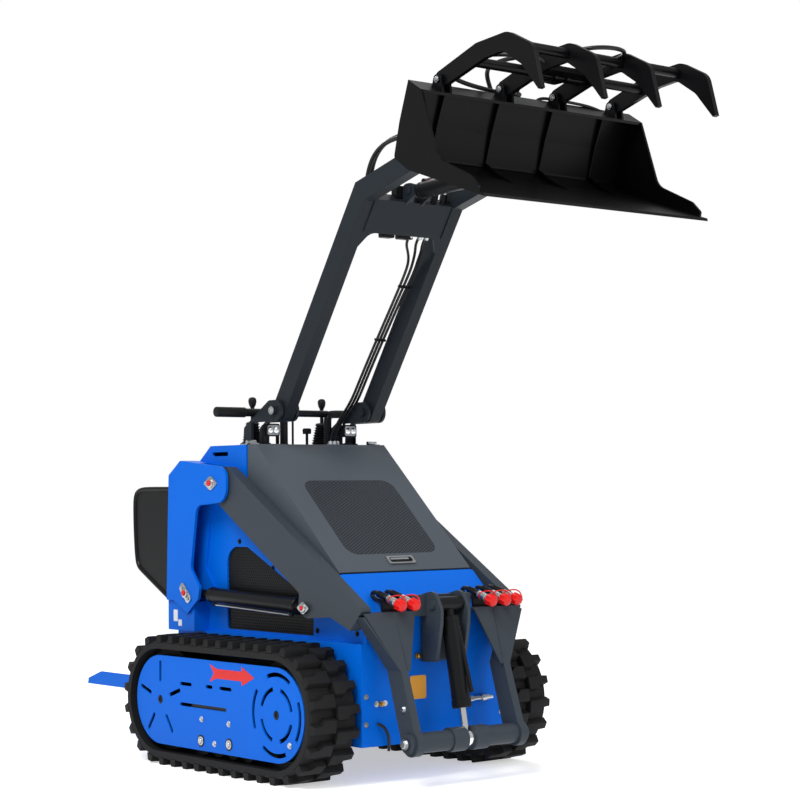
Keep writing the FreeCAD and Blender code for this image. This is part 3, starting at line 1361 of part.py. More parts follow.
# Controls on the deck: hand rails, levers in bellows, and two work lamps
bar_x, bar_z, bar_r = d.bar_back, bar_height, d.bar_radius
rail_parts = [cross_bar("rail_middle", bar_x, bar_z, -d.bar_reach, 128, bar_r)]
rail_parts.append(cross_bar("rail_left", bar_x, bar_z, 128, d.bar_reach, bar_r))
for word, y in (("right", -62), ("left", 128)):
    rail_parts.append(upright("rail_post_" + word, bar_x, y, d.deck_height, bar_z, bar_r))
node("hand_rails", fuse("hand_rails", rail_parts))
lever_parts = []
for word, y in (("right", -d.lever_half_gap), ("left", d.lever_half_gap)):
    for k in range(5):
        low, high = d.deck_height + 16 * k, d.deck_height + 16 * k + 8
        wide = 40 - 3 * k
        lever_parts.append(upright("bellows_%s_%d" % (word, k), d.lever_back, y, low, high,
                                   as_size(wide)))
        lever_parts.append(upright("bellows_neck_%s_%d" % (word, k), d.lever_back, y, high,
                                   high + 8, as_size(wide - 7)))
    lever_parts.append(upright("lever_" + word, d.lever_back, y, d.deck_height + 78,
                               lever_height - 6, as_size(6)))
    knob = doc.addObject("Part::Sphere", "knob_" + word)
    bind(knob, "Radius", 15)
    lever_parts.append(place(knob, d.lever_back, y, lever_height))
node("control_levers", fuse("control_levers", lever_parts))
lamp_parts = []
for word, y in (("right", -d.lamp_half_gap), ("left", d.lamp_half_gap)):
    lamp_parts.append(box("lamp_box_" + word, d.deck_front - 36, d.deck_front + 2,
                          y - d.lamp_half_width, y + d.lamp_half_width,
                          lamp_height - d.lamp_half_height, lamp_height + d.lamp_half_height))
    lamp_parts.append(box("lamp_foot_" + word, d.deck_front - 28, d.deck_front - 8, y - 8, y + 8,
                          d.deck_height, lamp_height - d.lamp_half_height))
node("work_lamps", group("work_lamps", [fuse("work_lamp_right", lamp_parts[:2]),
                                        fuse("work_lamp_left", lamp_parts[2:])]))

# Guards at the rear corners: a sheet in a bent tube
guard_inner = tower_inner - d.guard_sheet
guard_top, guard_foot = pz - d.guard_drop, fz - d.guard_foot_drop
guard_outline = [(px - 250, guard_top - 4), (-d.guard_reach + 48, guard_top, 20),
                 (-d.guard_reach, guard_top - 21, 20),
                 (-d.guard_reach + 12, guard_foot + 133, 40), (px - 250, guard_foot)]
guard_sheet = side_plate("guard_sheet", guard_outline, guard_inner - 8, guard_inner - 3)
rim_line = [(x, z) for x, z, *corner in guard_outline]


def guard_rim(name):
    bars = []
    y = -(guard_inner - 5)
    for k, (a, b) in enumerate(zip(rim_line, rim_line[1:])):
        span = length_of(as_size(b[0]) - a[0], as_size(b[1]) - a[1])
        bars.append(long_bar("%s_%d" % (name, k), (as_size(a[0]), as_size(a[1])), b, y, 0, span,
                             d.guard_rim_radius))
        if k:
            ball = doc.addObject("Part::Sphere", "%s_ball_%d" % (name, k))
            bind(ball, "Radius", d.guard_rim_radius)
            bars.append(place(ball, as_size(a[0]), y, a[1]))
    return bars


guard_trim = side_plate("guard_trim", [
    (d.tub_rear - 0.3, d.tub_top - 40), (d.tub_rear - 0.3, fz - 29.7),
    (fx - 124.3, fz - 29.7), (fx - 124.3, fz - 28), (px - 266.3, pz + 32), (px - 180, pz + 32),
    (px - 180, d.tub_top - 40)], d.body_half_width - 20, d.tower_outer + 10)
guard_body = fuse("guard_body", [guard_sheet] + guard_rim("guard_rim"))
both_sides("rear_guard", cut("rear_guard", guard_body, [guard_trim]))

# Platform for the operator, hinged on a bracket at the rear
ox, oz = d.platform_hinge_back, d.platform_hinge_height
half_platform = d.platform_half_width
floor, lip = d.platform_floor, d.platform_floor + d.platform_lip
tail, front = -d.platform_reach, d.platform_front
step = box("platform_step", tail + 2, front, -half_platform + 1, half_platform - 1, floor,
           floor + d.platform_sheet)
skirt = [(tail, floor), (tail + 6, floor + 21, 4), (tail + 96, lip, 12),
         (front - 140, lip, 12), (front, lip - 9, 4), (front, floor)]
step_sides = [side_plate("platform_side_right", skirt, half_platform - 6, half_platform),
              side_plate("platform_side_left", skirt, -half_platform, 6 - half_platform)]
step_lips = [box("platform_lip_front", front - 6, front, -half_platform + 1, half_platform - 1,
                 floor, lip - 9),
             box("platform_lip_rear", tail + 2, tail + 8, -half_platform + 1,
                 half_platform - 1, floor, floor + 20)]
step = fuse("platform_tray", [step] + step_sides + step_lips)
knuckles = [cross_bar("platform_knuckle_" + word, ox, oz, y0, y1, as_size(13))
            for word, y0, y1 in (("right", -200, -120), ("left", 120, 200))]
knuckle_arms = [box("platform_arm_" + word, front - 1, ox, y0, y1, oz - 8, oz + 8)
                for word, y0, y1 in (("right", -200, -120), ("left", 120, 200))]
platform_hole = cross_bar("platform_hole", ox, oz, -201, 201, as_size(8) + d.running_gap)
node("platform", cut("platform", fuse("platform_solid", [step] + knuckles + knuckle_arms),
                     [platform_hole]))
hinge_ears = []
for word, y0 in (("a", -214), ("b", -118), ("c", 106), ("d", 202)):
    hinge_ears.append(box("platform_ear_" + word, ox - 11, d.tub_rear, y0, y0 + 12,
                          oz - 11, oz + 11))
hinge_rods = [cross_bar("platform_rod_" + word, ox, oz, y0, y1, as_size(8))
              for word, y0, y1 in (("right", -214, -106), ("left", 106, 214))]
stops = [box("platform_stop_" + word, front - 16, d.tub_rear, y0, y1, floor - 30, floor - 1)
         for word, y0, y1 in (("right", -260, -230), ("left", 230, 260))]
node("platform_mount", group("platform_mount", [
    fuse("platform_mount_right", hinge_ears[:2] + hinge_rods[:1]),
    fuse("platform_mount_left", hinge_ears[2:] + hinge_rods[1:])] + stops))

doc.recompute()

failed = [item.Name for item in doc.Objects if "Invalid" in item.State or "Error" in item.State]
if failed:
    raise RuntimeError("features that failed: " + ", ".join(failed))
for item in NODES:
    if item.Shape.isNull() or not item.Shape.isValid() or not item.Shape.Solids:
        raise RuntimeError("bad shape: " + item.Label)

os.makedirs("parts", exist_ok=True)
for item in NODES:
    item.Shape.exportStep("parts/%s.step" % item.Label)

whole = Part.makeCompound([item.Shape for item in NODES]).BoundBox
print("nodes", len(NODES))
print("box", [round(v, 2) for v in (whole.XMin, whole.XMax, whole.YMin, whole.YMax,
                                    whole.ZMin, whole.ZMax)])
for name, x, z in (("lift", px, pz), ("ram_foot", fx, fz), ("ram_eye", lx, lz),
                   ("hood", hinge_x, hinge_z), ("boom", bx, bz), ("tip", ex, ez),
                   ("tilt_foot", qx, qz), ("tilt_eye", gx, gz), ("grapple", vx, vz),
                   ("grapple_foot", hx, hz), ("grapple_eye", jx, jz), ("platform", ox, oz)):
    print("pin", name, round((mid_x + x).value, 3), round(as_size(z).value, 3))
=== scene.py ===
# %% [markdown]
# # A mini skid steer loader
#
# The machine stands on two rubber tracks. A bare lift frame hangs in front,
# and a narrower boom rises from the deck with a grapple bucket at its tip.
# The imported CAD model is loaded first, because it fixes every size and joint.
# Blender then adds the finishes and the small parts that a buyer looks at.

# %% Load the frame
import math
import bpy
import bmesh
from mathutils import Matrix, Vector


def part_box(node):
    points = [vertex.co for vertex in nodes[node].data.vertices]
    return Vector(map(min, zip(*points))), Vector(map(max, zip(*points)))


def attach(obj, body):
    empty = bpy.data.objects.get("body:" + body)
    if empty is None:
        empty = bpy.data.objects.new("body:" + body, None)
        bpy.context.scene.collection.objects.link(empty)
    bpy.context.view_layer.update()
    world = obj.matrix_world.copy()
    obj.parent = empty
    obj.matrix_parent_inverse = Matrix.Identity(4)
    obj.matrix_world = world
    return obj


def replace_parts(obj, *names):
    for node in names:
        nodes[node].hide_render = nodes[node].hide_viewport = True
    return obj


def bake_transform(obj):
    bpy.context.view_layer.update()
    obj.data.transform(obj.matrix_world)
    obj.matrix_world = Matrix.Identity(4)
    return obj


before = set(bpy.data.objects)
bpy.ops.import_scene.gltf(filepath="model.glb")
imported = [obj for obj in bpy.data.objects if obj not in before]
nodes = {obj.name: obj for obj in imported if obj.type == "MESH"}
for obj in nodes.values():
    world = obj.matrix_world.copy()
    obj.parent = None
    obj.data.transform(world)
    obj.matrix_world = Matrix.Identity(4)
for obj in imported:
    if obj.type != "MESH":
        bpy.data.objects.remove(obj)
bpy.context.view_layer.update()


# %% [markdown]
# Distances on the machine are easiest to read in millimetres from the point
# midway between the two track axles, on the ground. The frame measures in
# metres from the middle of the whole machine, so one helper turns the first
# into the second. The pins and levels below carry most of the small parts.

# %% Places in millimetres
track_low, track_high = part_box("track_right")
AXLE_MIDDLE = (track_low[0] + track_high[0]) / 2
X, Y, Z = Vector((1, 0, 0)), Vector((0, 1, 0)), Vector((0, 0, 1))
ORIGIN = Vector((0, 0, 0))
SIDES = (("right", -1), ("left", 1))
LIFT_PIN = (-217, 948)
RAM_FOOT, RAM_EYE = (-378, 571), (300, 545)
BOOM_PIN, BOOM_TIP = (-15, 1190), (897, 1995)
TILT_FOOT, TILT_EYE = (482, 1890), (887, 1900)
FRONT_RAM_TOP, FRONT_TUBE = (612, 556), (694, 140)
GRAPPLE_PIN = (1032, 2120)
DECK_TOP = 1077
TUB_FRONT, TUB_REAR = 544, -480


def at(x, y, z):
    return Vector((AXLE_MIDDLE + x / 1000, y / 1000, z / 1000))


def seen_from(side, outline):
    return [(x * -side, z) for x, z in outline][::-side]


print("middle of the axles at", round(AXLE_MIDDLE, 4), "m")

# %% [markdown]
# The camera stands in front, to the machine's right, at chest height. A free
# view could be set by eye, but here it has to match a photograph, so its
# place was worked out from the picture's perspective: the tracks give the
# scale and the vanishing lines give the direction.

# %% Camera
CAMERA_PLACE = at(5485, -4115, 914)
CAMERA_YAW = math.radians(141.134)
CAMERA_PITCH = math.radians(2.617)
CAMERA_ROLL = math.radians(-0.547)
LENS_MM, SENSOR_MM = 90, 36

camera_data = bpy.data.cameras.new("camera")
camera_data.lens = LENS_MM
camera_data.sensor_width = SENSOR_MM
camera_data.sensor_fit = "HORIZONTAL"
camera_data.clip_end = 60
camera = bpy.data.objects.new("camera", camera_data)
bpy.context.scene.collection.objects.link(camera)
forward = Vector((math.cos(CAMERA_PITCH) * math.cos(CAMERA_YAW),
                  math.cos(CAMERA_PITCH) * math.sin(CAMERA_YAW), math.sin(CAMERA_PITCH)))
across = forward.cross(Z).normalized()
upward = across.cross(forward)
right_way = across * math.cos(CAMERA_ROLL) + upward * math.sin(CAMERA_ROLL)
up_way = upward * math.cos(CAMERA_ROLL) - across * math.sin(CAMERA_ROLL)
camera_turn = Matrix((right_way, up_way, -forward)).transposed().to_4x4()
camera.matrix_world = Matrix.Translation(CAMERA_PLACE) @ camera_turn
bpy.context.scene.camera = camera
print("camera at", [round(v, 3) for v in CAMERA_PLACE])

# %% [markdown]
# Colours are written as the sRGB hex values that a paint chart would give.
# Blender mixes light in linear values, so one function turns the one into
# the other. A second function adds any node: it gives the node its settings
# and fills each input with a number or with a link, whichever it is handed.

# %% Colour and node helpers
def linear(code):
    parts = [int(code[i:i + 2], 16) / 255 for i in (1, 3, 5)]
    return [p / 12.92 if p <= 0.04045 else ((p + 0.055) / 1.055) ** 2.4 for p in parts] + [1.0]


def add_node(tree, kind, settings=None, inputs=None):
    item = tree.nodes.new(kind)
    for key, value in (settings or {}).items():
        setattr(item, key, value)
    for key, value in (inputs or {}).items():
        if isinstance(value, bpy.types.NodeSocket):
            tree.links.new(value, item.inputs[key])
        else:
            item.inputs[key].default_value = value
    return item


def new_material(name):
    material = bpy.data.materials.new(name)
    material.use_nodes = True
    tree = material.node_tree
    tree.nodes.clear()
    shader = add_node(tree, "ShaderNodeBsdfPrincipled")
    add_node(tree, "ShaderNodeOutputMaterial", inputs={"Surface": shader.outputs[0]})
    where = add_node(tree, "ShaderNodeTexCoord").outputs["Object"]
    return material, tree, shader, where


# %% [markdown]
# Powder coat is a plastic film that is baked onto steel. It looks even from
# afar and slightly pebbled close up, the "orange peel", with a grain of 1 to
# 3 mm. A flat colour would look like toy plastic, so a faint bump draws the
# peel, and slow clouds vary colour and gloss as the film's thickness does.

# %% Painted steel
CLOUDS_PER_METRE = 3.0
COLOUR_DRIFT = 0.05
PEEL_STRENGTH, PEEL_DEPTH = 0.05, 0.0004
GLOSS_LESS, GLOSS_MORE = 0.07, 0.05


def powder_coat(name, code, roughness, peel_mm, specular=0.16):
    material, tree, shader, where = new_material(name)
    clouds = add_node(tree, "ShaderNodeTexNoise",
                      inputs={"Vector": where, "Scale": CLOUDS_PER_METRE, "Detail": 3.0})
    base = linear(code)
    dark = [c * (1 - COLOUR_DRIFT) for c in base[:3]] + [1.0]
    light = [min(1.0, c * (1 + COLOUR_DRIFT)) for c in base[:3]] + [1.0]
    mix = add_node(tree, "ShaderNodeMix", {"data_type": "RGBA"},
                   {0: clouds.outputs["Fac"], 6: dark, 7: light})
    tree.links.new(mix.outputs[2], shader.inputs["Base Color"])
    grain = add_node(tree, "ShaderNodeTexNoise",
                     inputs={"Vector": where, "Scale": 1000 / peel_mm, "Detail": 2.0})
    bump = add_node(tree, "ShaderNodeBump", inputs={
        "Height": grain.outputs["Fac"], "Strength": PEEL_STRENGTH, "Distance": PEEL_DEPTH})
    gloss = add_node(tree, "ShaderNodeMapRange", inputs={
        "Value": clouds.outputs["Fac"], "To Min": roughness - GLOSS_MORE,
        "To Max": roughness + GLOSS_LESS})
    tree.links.new(gloss.outputs[0], shader.inputs["Roughness"])
    tree.links.new(bump.outputs[0], shader.inputs["Normal"])
    shader.inputs["Specular IOR Level"].default_value = specular
    return material


BLUE = powder_coat("blue_powder_coat", "#0068DC", 0.4, 2.2, specular=0.1)
CHARCOAL = powder_coat("charcoal_powder_coat", "#3A4149", 0.4, 2.0)
BOOM_GREY = powder_coat("boom_grey_powder_coat", "#1F252B", 0.4, 2.0)
HOOD_GREY = powder_coat("hood_grey_powder_coat", "#4E555D", 0.44, 2.0)
BLACK = powder_coat("black_satin_paint", "#121315", 0.36, 2.4)
MESH_GREY = powder_coat("mesh_grey_powder_coat", "#3E434A", 0.42, 1.2)
BUCKET_BLACK = powder_coat("bucket_black_paint", "#08080A", 0.34, 3.0)

# %% [markdown]
# Bare metal on the machine is plated. Hard chrome on a ram's rod is ground
# smooth, so it mirrors its surroundings and is the brightest thing on the
# machine. Zinc plate on bolts and couplers is paler and a little cloudy, and
# brass is left as it was turned. All keep the default IOR of a metal, and
# one noise pattern in the roughness is enough to break the mirror.

# %% Plated and bare metal
def metal(name, code, roughness, cloud_mm):
    material, tree, shader, where = new_material(name)
    clouds = add_node(tree, "ShaderNodeTexNoise",
                      inputs={"Vector": where, "Scale": 1000 / cloud_mm, "Detail": 4.0})
    gloss = add_node(tree, "ShaderNodeMapRange", inputs={
        "Value": clouds.outputs["Fac"], "To Min": max(0.03, roughness - 0.08),
        "To Max": roughness + 0.12})
    tree.links.new(gloss.outputs[0], shader.inputs["Roughness"])
    shader.inputs["Base Color"].default_value = linear(code)
    shader.inputs["Metallic"].default_value = 1.0
    return material


CHROME = metal("hard_chrome", "#E8EAEC", 0.09, 40)
ZINC = metal("zinc_plate", "#B9BCBE", 0.32, 6)
BRASS = metal("brass_fitting", "#B08D4A", 0.3, 6)

# %% [markdown]
# Rubber and nylon come out of a mould, which leaves a fine pitted skin, and
# dust settles on them in pale patches. Vulcanised rubber is dull and nearly
# black, a hose has a smoother cover, and the red caps are glossy vinyl. The
# same recipe paints rough cast iron, whose sand grain is about 3 mm.

# %% Rubber, plastic and cast iron
DUST_PER_METRE = 6.0
DUST_GAIN, DUST_LIFT = 1.35, 0.002
SKIN_DEPTH = 0.0005


def moulded(name, code, roughness, grain_mm, pitting, specular=0.15):
    material, tree, shader, where = new_material(name)
    grain = add_node(tree, "ShaderNodeTexNoise",
                     inputs={"Vector": where, "Scale": 1000 / grain_mm, "Detail": 5.0})
    dust = add_node(tree, "ShaderNodeTexNoise",
                    inputs={"Vector": where, "Scale": DUST_PER_METRE, "Detail": 4.0})
    base = linear(code)
    dusty = [c * DUST_GAIN + DUST_LIFT for c in base[:3]] + [1.0]
    mix = add_node(tree, "ShaderNodeMix", {"data_type": "RGBA"},
                   {0: dust.outputs["Fac"], 6: base, 7: dusty})
    tree.links.new(mix.outputs[2], shader.inputs["Base Color"])
    bump = add_node(tree, "ShaderNodeBump", inputs={
        "Height": grain.outputs["Fac"], "Strength": pitting, "Distance": SKIN_DEPTH})
    tree.links.new(bump.outputs[0], shader.inputs["Normal"])
    shader.inputs["Roughness"].default_value = roughness
    shader.inputs["Specular IOR Level"].default_value = specular
    return material


RUBBER = moulded("track_rubber", "#19191A", 0.62, 2.5, 0.35)
HOSE = moulded("hose_rubber", "#101011", 0.34, 1.5, 0.12, 0.35)
BLACK_NYLON_AND_SHADE = moulded("black_nylon_and_painted_shade", "#151617", 0.5, 1.2, 0.15)
RED_PLASTIC = moulded("red_cap_plastic", "#CF0F0C", 0.34, 1.0, 0.08, 0.35)
LABEL = moulded("orange_label_film", "#E0A040", 0.45, 1.5, 0.04)
WHITE_LABEL = moulded("white_label_film", "#D8DADC", 0.45, 1.5, 0.04)
CAST = moulded("cast_iron_paint", "#1B1C1D", 0.6, 3.0, 0.4)
LENS = moulded("lamp_lens", "#9AA2A8", 0.12, 4.0, 0.1, 0.6)

# %% [markdown]
# Each CAD node is given its finish by name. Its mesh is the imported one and
# stays as it is, so only the material changes.

# %% Finishes on the CAD nodes
FINISHES = [
    (BLUE, ["lower_tub", "side_panel_right", "side_panel_left", "rear_deck", "nose_panel",
            "track_cover_right", "track_cover_left", "platform", "tower_right", "tower_left"]),
    (CHARCOAL, ["lift_arm_right", "lift_arm_left", "cross_beam", "front_tube"]),
    (BOOM_GREY, ["boom_arm_right", "boom_arm_left", "boom_cross", "boom_bracket_right",
                 "boom_bracket_left"]),
    (HOOD_GREY, ["hood_panel"]),
    (BLACK, ["lift_barrel_right", "lift_barrel_left", "front_tilt_barrel", "tilt_barrel",
             "grapple_barrel", "hand_rails", "rear_guard_right", "rear_guard_left",
             "platform_mount", "track_frame_right", "track_frame_left"]),
    (BUCKET_BLACK, ["bucket_shell", "bucket_ribs", "bucket_lugs", "grapple_hinges",
                    "grapple_frame"]),
    (CHROME, ["lift_rod_right", "lift_rod_left", "front_tilt_rod", "tilt_rod", "grapple_rod"]),
    (ZINC, ["hood_latch", "deck_hinges", "hood_hinges", "front_couplers"]),
    (RUBBER, ["track_right", "track_left"]),
    # The hood_grille plate lies under the hood's perforated sheet; its black nylon finish is painted shade of
    # the dark space behind the holes.
    (BLACK_NYLON_AND_SHADE, ["side_mesh_right", "side_mesh_left", "hood_grille", "control_levers",
               "work_lamps"]),
    (RED_PLASTIC, ["coupler_caps"]),
    (CAST, ["track_wheels_right", "track_wheels_left", "engine_block"]),
]
for material, names in FINISHES:
    for name in names:
        nodes[name].data.materials.clear()
        nodes[name].data.materials.append(material)
print("dressed", sum(len(names) for _, names in FINISHES), "of", len(nodes), "nodes")

# %% [markdown]
# Most small parts on a machine are turned or cut from plate, so two tools
# make them. A lathe spins a profile round a line: each row of the profile is
# a distance along the line and a radius. A prism pushes an outline straight
# out. Both write into one open mesh, so a piece can be built from several.

# %% Turned and plate shapes
def lathe(mesh, start, along, profile, sides=24, ribs=1.0):
    along = Vector(along).normalized()
    side = along.orthogonal().normalized()
    other = along.cross(side)
    rings = []
    for distance, radius in profile:
        middle = start + along * distance / 1000
        ring = []
        for k in range(sides):
            angle = 2 * math.pi * k / sides
            reach = radius * (ribs if k % 2 else 1.0) / 1000
            ring.append(mesh.verts.new(middle + (side * math.cos(angle)
                                                 + other * math.sin(angle)) * reach))
        rings.append(ring)
    for low, high in zip(rings, rings[1:]):
        for k in range(sides):
            j = (k + 1) % sides
            mesh.faces.new((low[k], low[j], high[j], high[k]))
    mesh.faces.new(list(reversed(rings[0])))
    mesh.faces.new(rings[-1])


def prism(mesh, outline, corner, across, upward, depth):
    out = across.cross(upward)
    low = [mesh.verts.new(corner + (across * x + upward * y) / 1000) for x, y in outline]
    high = [mesh.verts.new(v.co + out * depth / 1000) for v in low]
    mesh.faces.new(list(reversed(low)))
    mesh.faces.new(high)
    for k in range(len(low)):
        j = (k + 1) % len(low)
        mesh.faces.new((low[k], low[j], high[j], high[k]))


def rounded(corners, radius, steps=4):
    outline = []
    count = len(corners)
    for k in range(count):
        here = Vector(corners[k])
        back = (Vector(corners[k - 1]) - here).normalized()
        on = (Vector(corners[(k + 1) % count]) - here).normalized()
        for step in range(steps + 1):
            t = step / steps
            outline.append(tuple(here + back * radius * (1 - t) ** 2 + on * radius * t ** 2))
    return outline


def rounded_box(left, right, low, high, radius, steps=4):
    return rounded([(left, low), (right, low), (right, high), (left, high)], radius, steps)


def plate_outline(width, height, radius):
    return rounded_box(-width / 2, width / 2, -height / 2, height / 2, radius)


# %% [markdown]
# Every new piece ends in the same few steps: faces outward, smooth shading that breaks at hard edges, a
# material and the body that the piece rides on. A bevel of about half a millimetre catches the light as a real
# cut edge does. The counts of faces are kept, so that each step can say what it made.

# %% Finishing a piece
HARD_EDGE = math.radians(35)
made = []


def tell(step):
    print(step + ":", len(made), "pieces,", sum(made), "faces")
    made.clear()


def settle(name, data, material, body):
    data.shade_smooth()
    data.set_sharp_from_angle(angle=HARD_EDGE)
    data.materials.clear()
    data.materials.append(material)
    item = bpy.data.objects.new(name, data)
    bpy.context.scene.collection.objects.link(item)
    if body:
        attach(item, body)
    made.append(len(data.polygons))
    return item


def piece(name, mesh, material, body, bevel=0):
    bmesh.ops.recalc_face_normals(mesh, faces=mesh.faces)
    if bevel:
        sharp = [edge for edge in mesh.edges
                 if edge.is_manifold and edge.calc_face_angle(0) > HARD_EDGE]
        bmesh.ops.bevel(mesh, geom=sharp, offset=bevel / 1000, segments=2, profile=0.6,
                        affect="EDGES", clamp_overlap=True)
    data = bpy.data.meshes.new(name)
    mesh.to_mesh(data)
    mesh.free()
    return settle(name, data, material, body)


def turned_piece(name, starts, way, profile, sides, material, body, bevel=0):
    mesh = bmesh.new()
    for start in starts:
        lathe(mesh, start, way, profile, sides)
    return piece(name, mesh, material, body, bevel)


def evaluated_mesh(item):
    graph = bpy.context.evaluated_depsgraph_get()
    data = bpy.data.meshes.new_from_object(item.evaluated_get(graph))
    bpy.data.objects.remove(item)
    return data


# %% [markdown]
# A hose is a round tube along a smooth line. A curve with a bevel depth draws it from a few given points, which
# a chain of cylinders could not do without kinks. The curve becomes a mesh before it is placed.

# %% Hoses along curves
def hoses(name, lines, radius, material, body):
    curve = bpy.data.curves.new(name, "CURVE")
    curve.dimensions = "3D"
    curve.bevel_depth = radius / 1000
    curve.bevel_resolution = 3
    curve.use_fill_caps = True
    curve.resolution_u = 6
    for line in lines:
        spline = curve.splines.new("NURBS")
        spline.points.add(len(line) - 1)
        for point, spot in zip(spline.points, line):
            point.co = tuple(at(*spot)) + (1.0,)
        spline.order_u = min(4, len(line))
        spline.use_endpoint_u = True
    item = bpy.data.objects.new(name + "_path", curve)
    bpy.context.scene.collection.objects.link(item)
    return settle(name, evaluated_mesh(item), material, body)


# %% [markdown]
# Things that repeat could be copied in a loop, but Geometry Nodes keep the
# shape and the places apart, so either can be changed alone. The first group
# sets one stamp on each point of a mesh and turns it by two directions that
# the point carries. It makes the bolts, tread, weld beads, slats and studs.

# %% A group that copies a stamp
def new_group(name, sockets):
    tree = bpy.data.node_groups.new(name, "GeometryNodeTree")
    for label, kind in sockets:
        tree.interface.new_socket(label, in_out="INPUT", socket_type=kind)
    tree.interface.new_socket("Geometry", in_out="OUTPUT", socket_type="NodeSocketGeometry")
    return tree, add_node(tree, "NodeGroupInput").outputs


def grow(source, tree, values):
    item = bpy.data.objects.new("grown", source)
    bpy.context.scene.collection.objects.link(item)
    modifier = item.modifiers.new("grow", "NODES")
    modifier.node_group = tree
    for socket in tree.interface.items_tree:
        if socket.in_out == "INPUT" and socket.name in values:
            modifier[socket.identifier] = values[socket.name]
    return evaluated_mesh(item)


copy_group, given = new_group("copy_stamp", [("Geometry", "NodeSocketGeometry"),
                                             ("Stamp", "NodeSocketObject"),
                                             ("Material", "NodeSocketMaterial")])
stamp = add_node(copy_group, "GeometryNodeObjectInfo", inputs={"Object": given["Stamp"]})
facing, along = (add_node(copy_group, "GeometryNodeInputNamedAttribute",
                          {"data_type": "FLOAT_VECTOR"}, {"Name": label})
                 for label in ("facing", "along"))
turned = add_node(copy_group, "FunctionNodeAxesToRotation",
                  {"primary_axis": "Z", "secondary_axis": "X"},
                  {"Primary Axis": facing.outputs[0], "Secondary Axis": along.outputs[0]})
spread = add_node(copy_group, "GeometryNodeInstanceOnPoints", inputs={
    "Points": given["Geometry"], "Instance": stamp.outputs["Geometry"],
    "Rotation": turned.outputs[0]})
solid = add_node(copy_group, "GeometryNodeRealizeInstances", inputs={0: spread.outputs[0]})
finish = add_node(copy_group, "GeometryNodeSetMaterial",
                  inputs={"Geometry": solid.outputs[0], "Material": given["Material"]})
add_node(copy_group, "NodeGroupOutput", inputs={0: finish.outputs[0]})


# Each spot is a place, the way the stamp faces and the way its X runs.
def copies(name, stamp_mesh, spots, material, body):
    points = bpy.data.meshes.new(name + "_points")
    points.from_pydata([tuple(spot[0]) for spot in spots], [], [])
    for label, index in (("facing", 1), ("along", 2)):
        layer = points.attributes.new(label, "FLOAT_VECTOR", "POINT")
        layer.data.foreach_set("vector", [v for spot in spots for v in spot[index]])
    bmesh.ops.recalc_face_normals(stamp_mesh, faces=stamp_mesh.faces)
    stamp_data = bpy.data.meshes.new(name + "_stamp")
    stamp_mesh.to_mesh(stamp_data)
    stamp_mesh.free()
    stamp_item = bpy.data.objects.new(name + "_stamp", stamp_data)
    bpy.context.scene.collection.objects.link(stamp_item)
    data = grow(points, copy_group, {"Stamp": stamp_item, "Material": material})
    bpy.data.objects.remove(stamp_item)
    return settle(name, data, material, body)


# %% [markdown]
# Perforated sheet is punched with round holes in rows that are shifted by
# half a pitch, which leaves the most open area. Cutting thousands of holes
# with booleans would be slow, so the second group builds the sheet from
# six-sided tiles with a hole each. A staggered grid of points covers the
# outline, a ray keeps those that land on it, and the tiles are joined and
# pushed out to the sheet's thickness.

# %% A group that perforates a sheet: the grid of points
mesh_group, given = new_group("perforate", [("Geometry", "NodeSocketGeometry"),
                                            ("Pitch", "NodeSocketFloat"),
                                            ("Hole Radius", "NodeSocketFloat"),
                                            ("Thickness", "NodeSocketFloat"),
                                            ("Material", "NodeSocketMaterial")])
MATH, VECTOR_MATH = "ShaderNodeMath", "ShaderNodeVectorMath"
RAY_START, RAY_LENGTH = 0.01, 0.02
SEAM = 0.00005
edges = add_node(mesh_group, "GeometryNodeBoundBox", inputs={0: given["Geometry"]})
extent = add_node(mesh_group, VECTOR_MATH, {"operation": "SUBTRACT"},
                  {0: edges.outputs["Max"], 1: edges.outputs["Min"]})
span = add_node(mesh_group, "ShaderNodeSeparateXYZ", inputs={0: extent.outputs[0]})
row_pitch = add_node(mesh_group, MATH, {"operation": "MULTIPLY"},
                     {0: given["Pitch"], 1: math.sqrt(3) / 2})
counts, lengths = [], []
for reach, pitch in ((span.outputs[0], given["Pitch"]), (span.outputs[1], row_pitch.outputs[0])):
    share = add_node(mesh_group, MATH, {"operation": "DIVIDE"}, {0: reach, 1: pitch})
    whole = add_node(mesh_group, MATH, {"operation": "CEIL"}, {0: share.outputs[0]})
    count = add_node(mesh_group, MATH, {"operation": "ADD"}, {0: whole.outputs[0], 1: 2.0})
    gaps = add_node(mesh_group, MATH, {"operation": "SUBTRACT"}, {0: count.outputs[0], 1: 1.0})
    length = add_node(mesh_group, MATH, {"operation": "MULTIPLY"}, {0: gaps.outputs[0], 1: pitch})
    counts.append(count.outputs[0])
    lengths.append(length.outputs[0])
grid = add_node(mesh_group, "GeometryNodeMeshGrid", inputs={
    "Size X": lengths[0], "Size Y": lengths[1], "Vertices X": counts[0], "Vertices Y": counts[1]})
index = add_node(mesh_group, "GeometryNodeInputIndex")
row = add_node(mesh_group, MATH, {"operation": "MODULO"}, {0: index.outputs[0], 1: counts[1]})
odd = add_node(mesh_group, MATH, {"operation": "MODULO"}, {0: row.outputs[0], 1: 2.0})
half_pitch = add_node(mesh_group, MATH, {"operation": "DIVIDE"}, {0: given["Pitch"], 1: 2.0})
stagger = add_node(mesh_group, MATH, {"operation": "MULTIPLY"},
                   {0: odd.outputs[0], 1: half_pitch.outputs[0]})
shift = add_node(mesh_group, "ShaderNodeCombineXYZ", inputs={0: stagger.outputs[0]})
corners = add_node(mesh_group, VECTOR_MATH, {"operation": "ADD"},
                   {0: edges.outputs["Max"], 1: edges.outputs["Min"]})
middle = add_node(mesh_group, VECTOR_MATH, {"operation": "MULTIPLY"},
                  {0: corners.outputs[0], 1: (0.5, 0.5, 0.5)})
offset = add_node(mesh_group, VECTOR_MATH, {"operation": "ADD"},
                  {0: shift.outputs[0], 1: middle.outputs[0]})
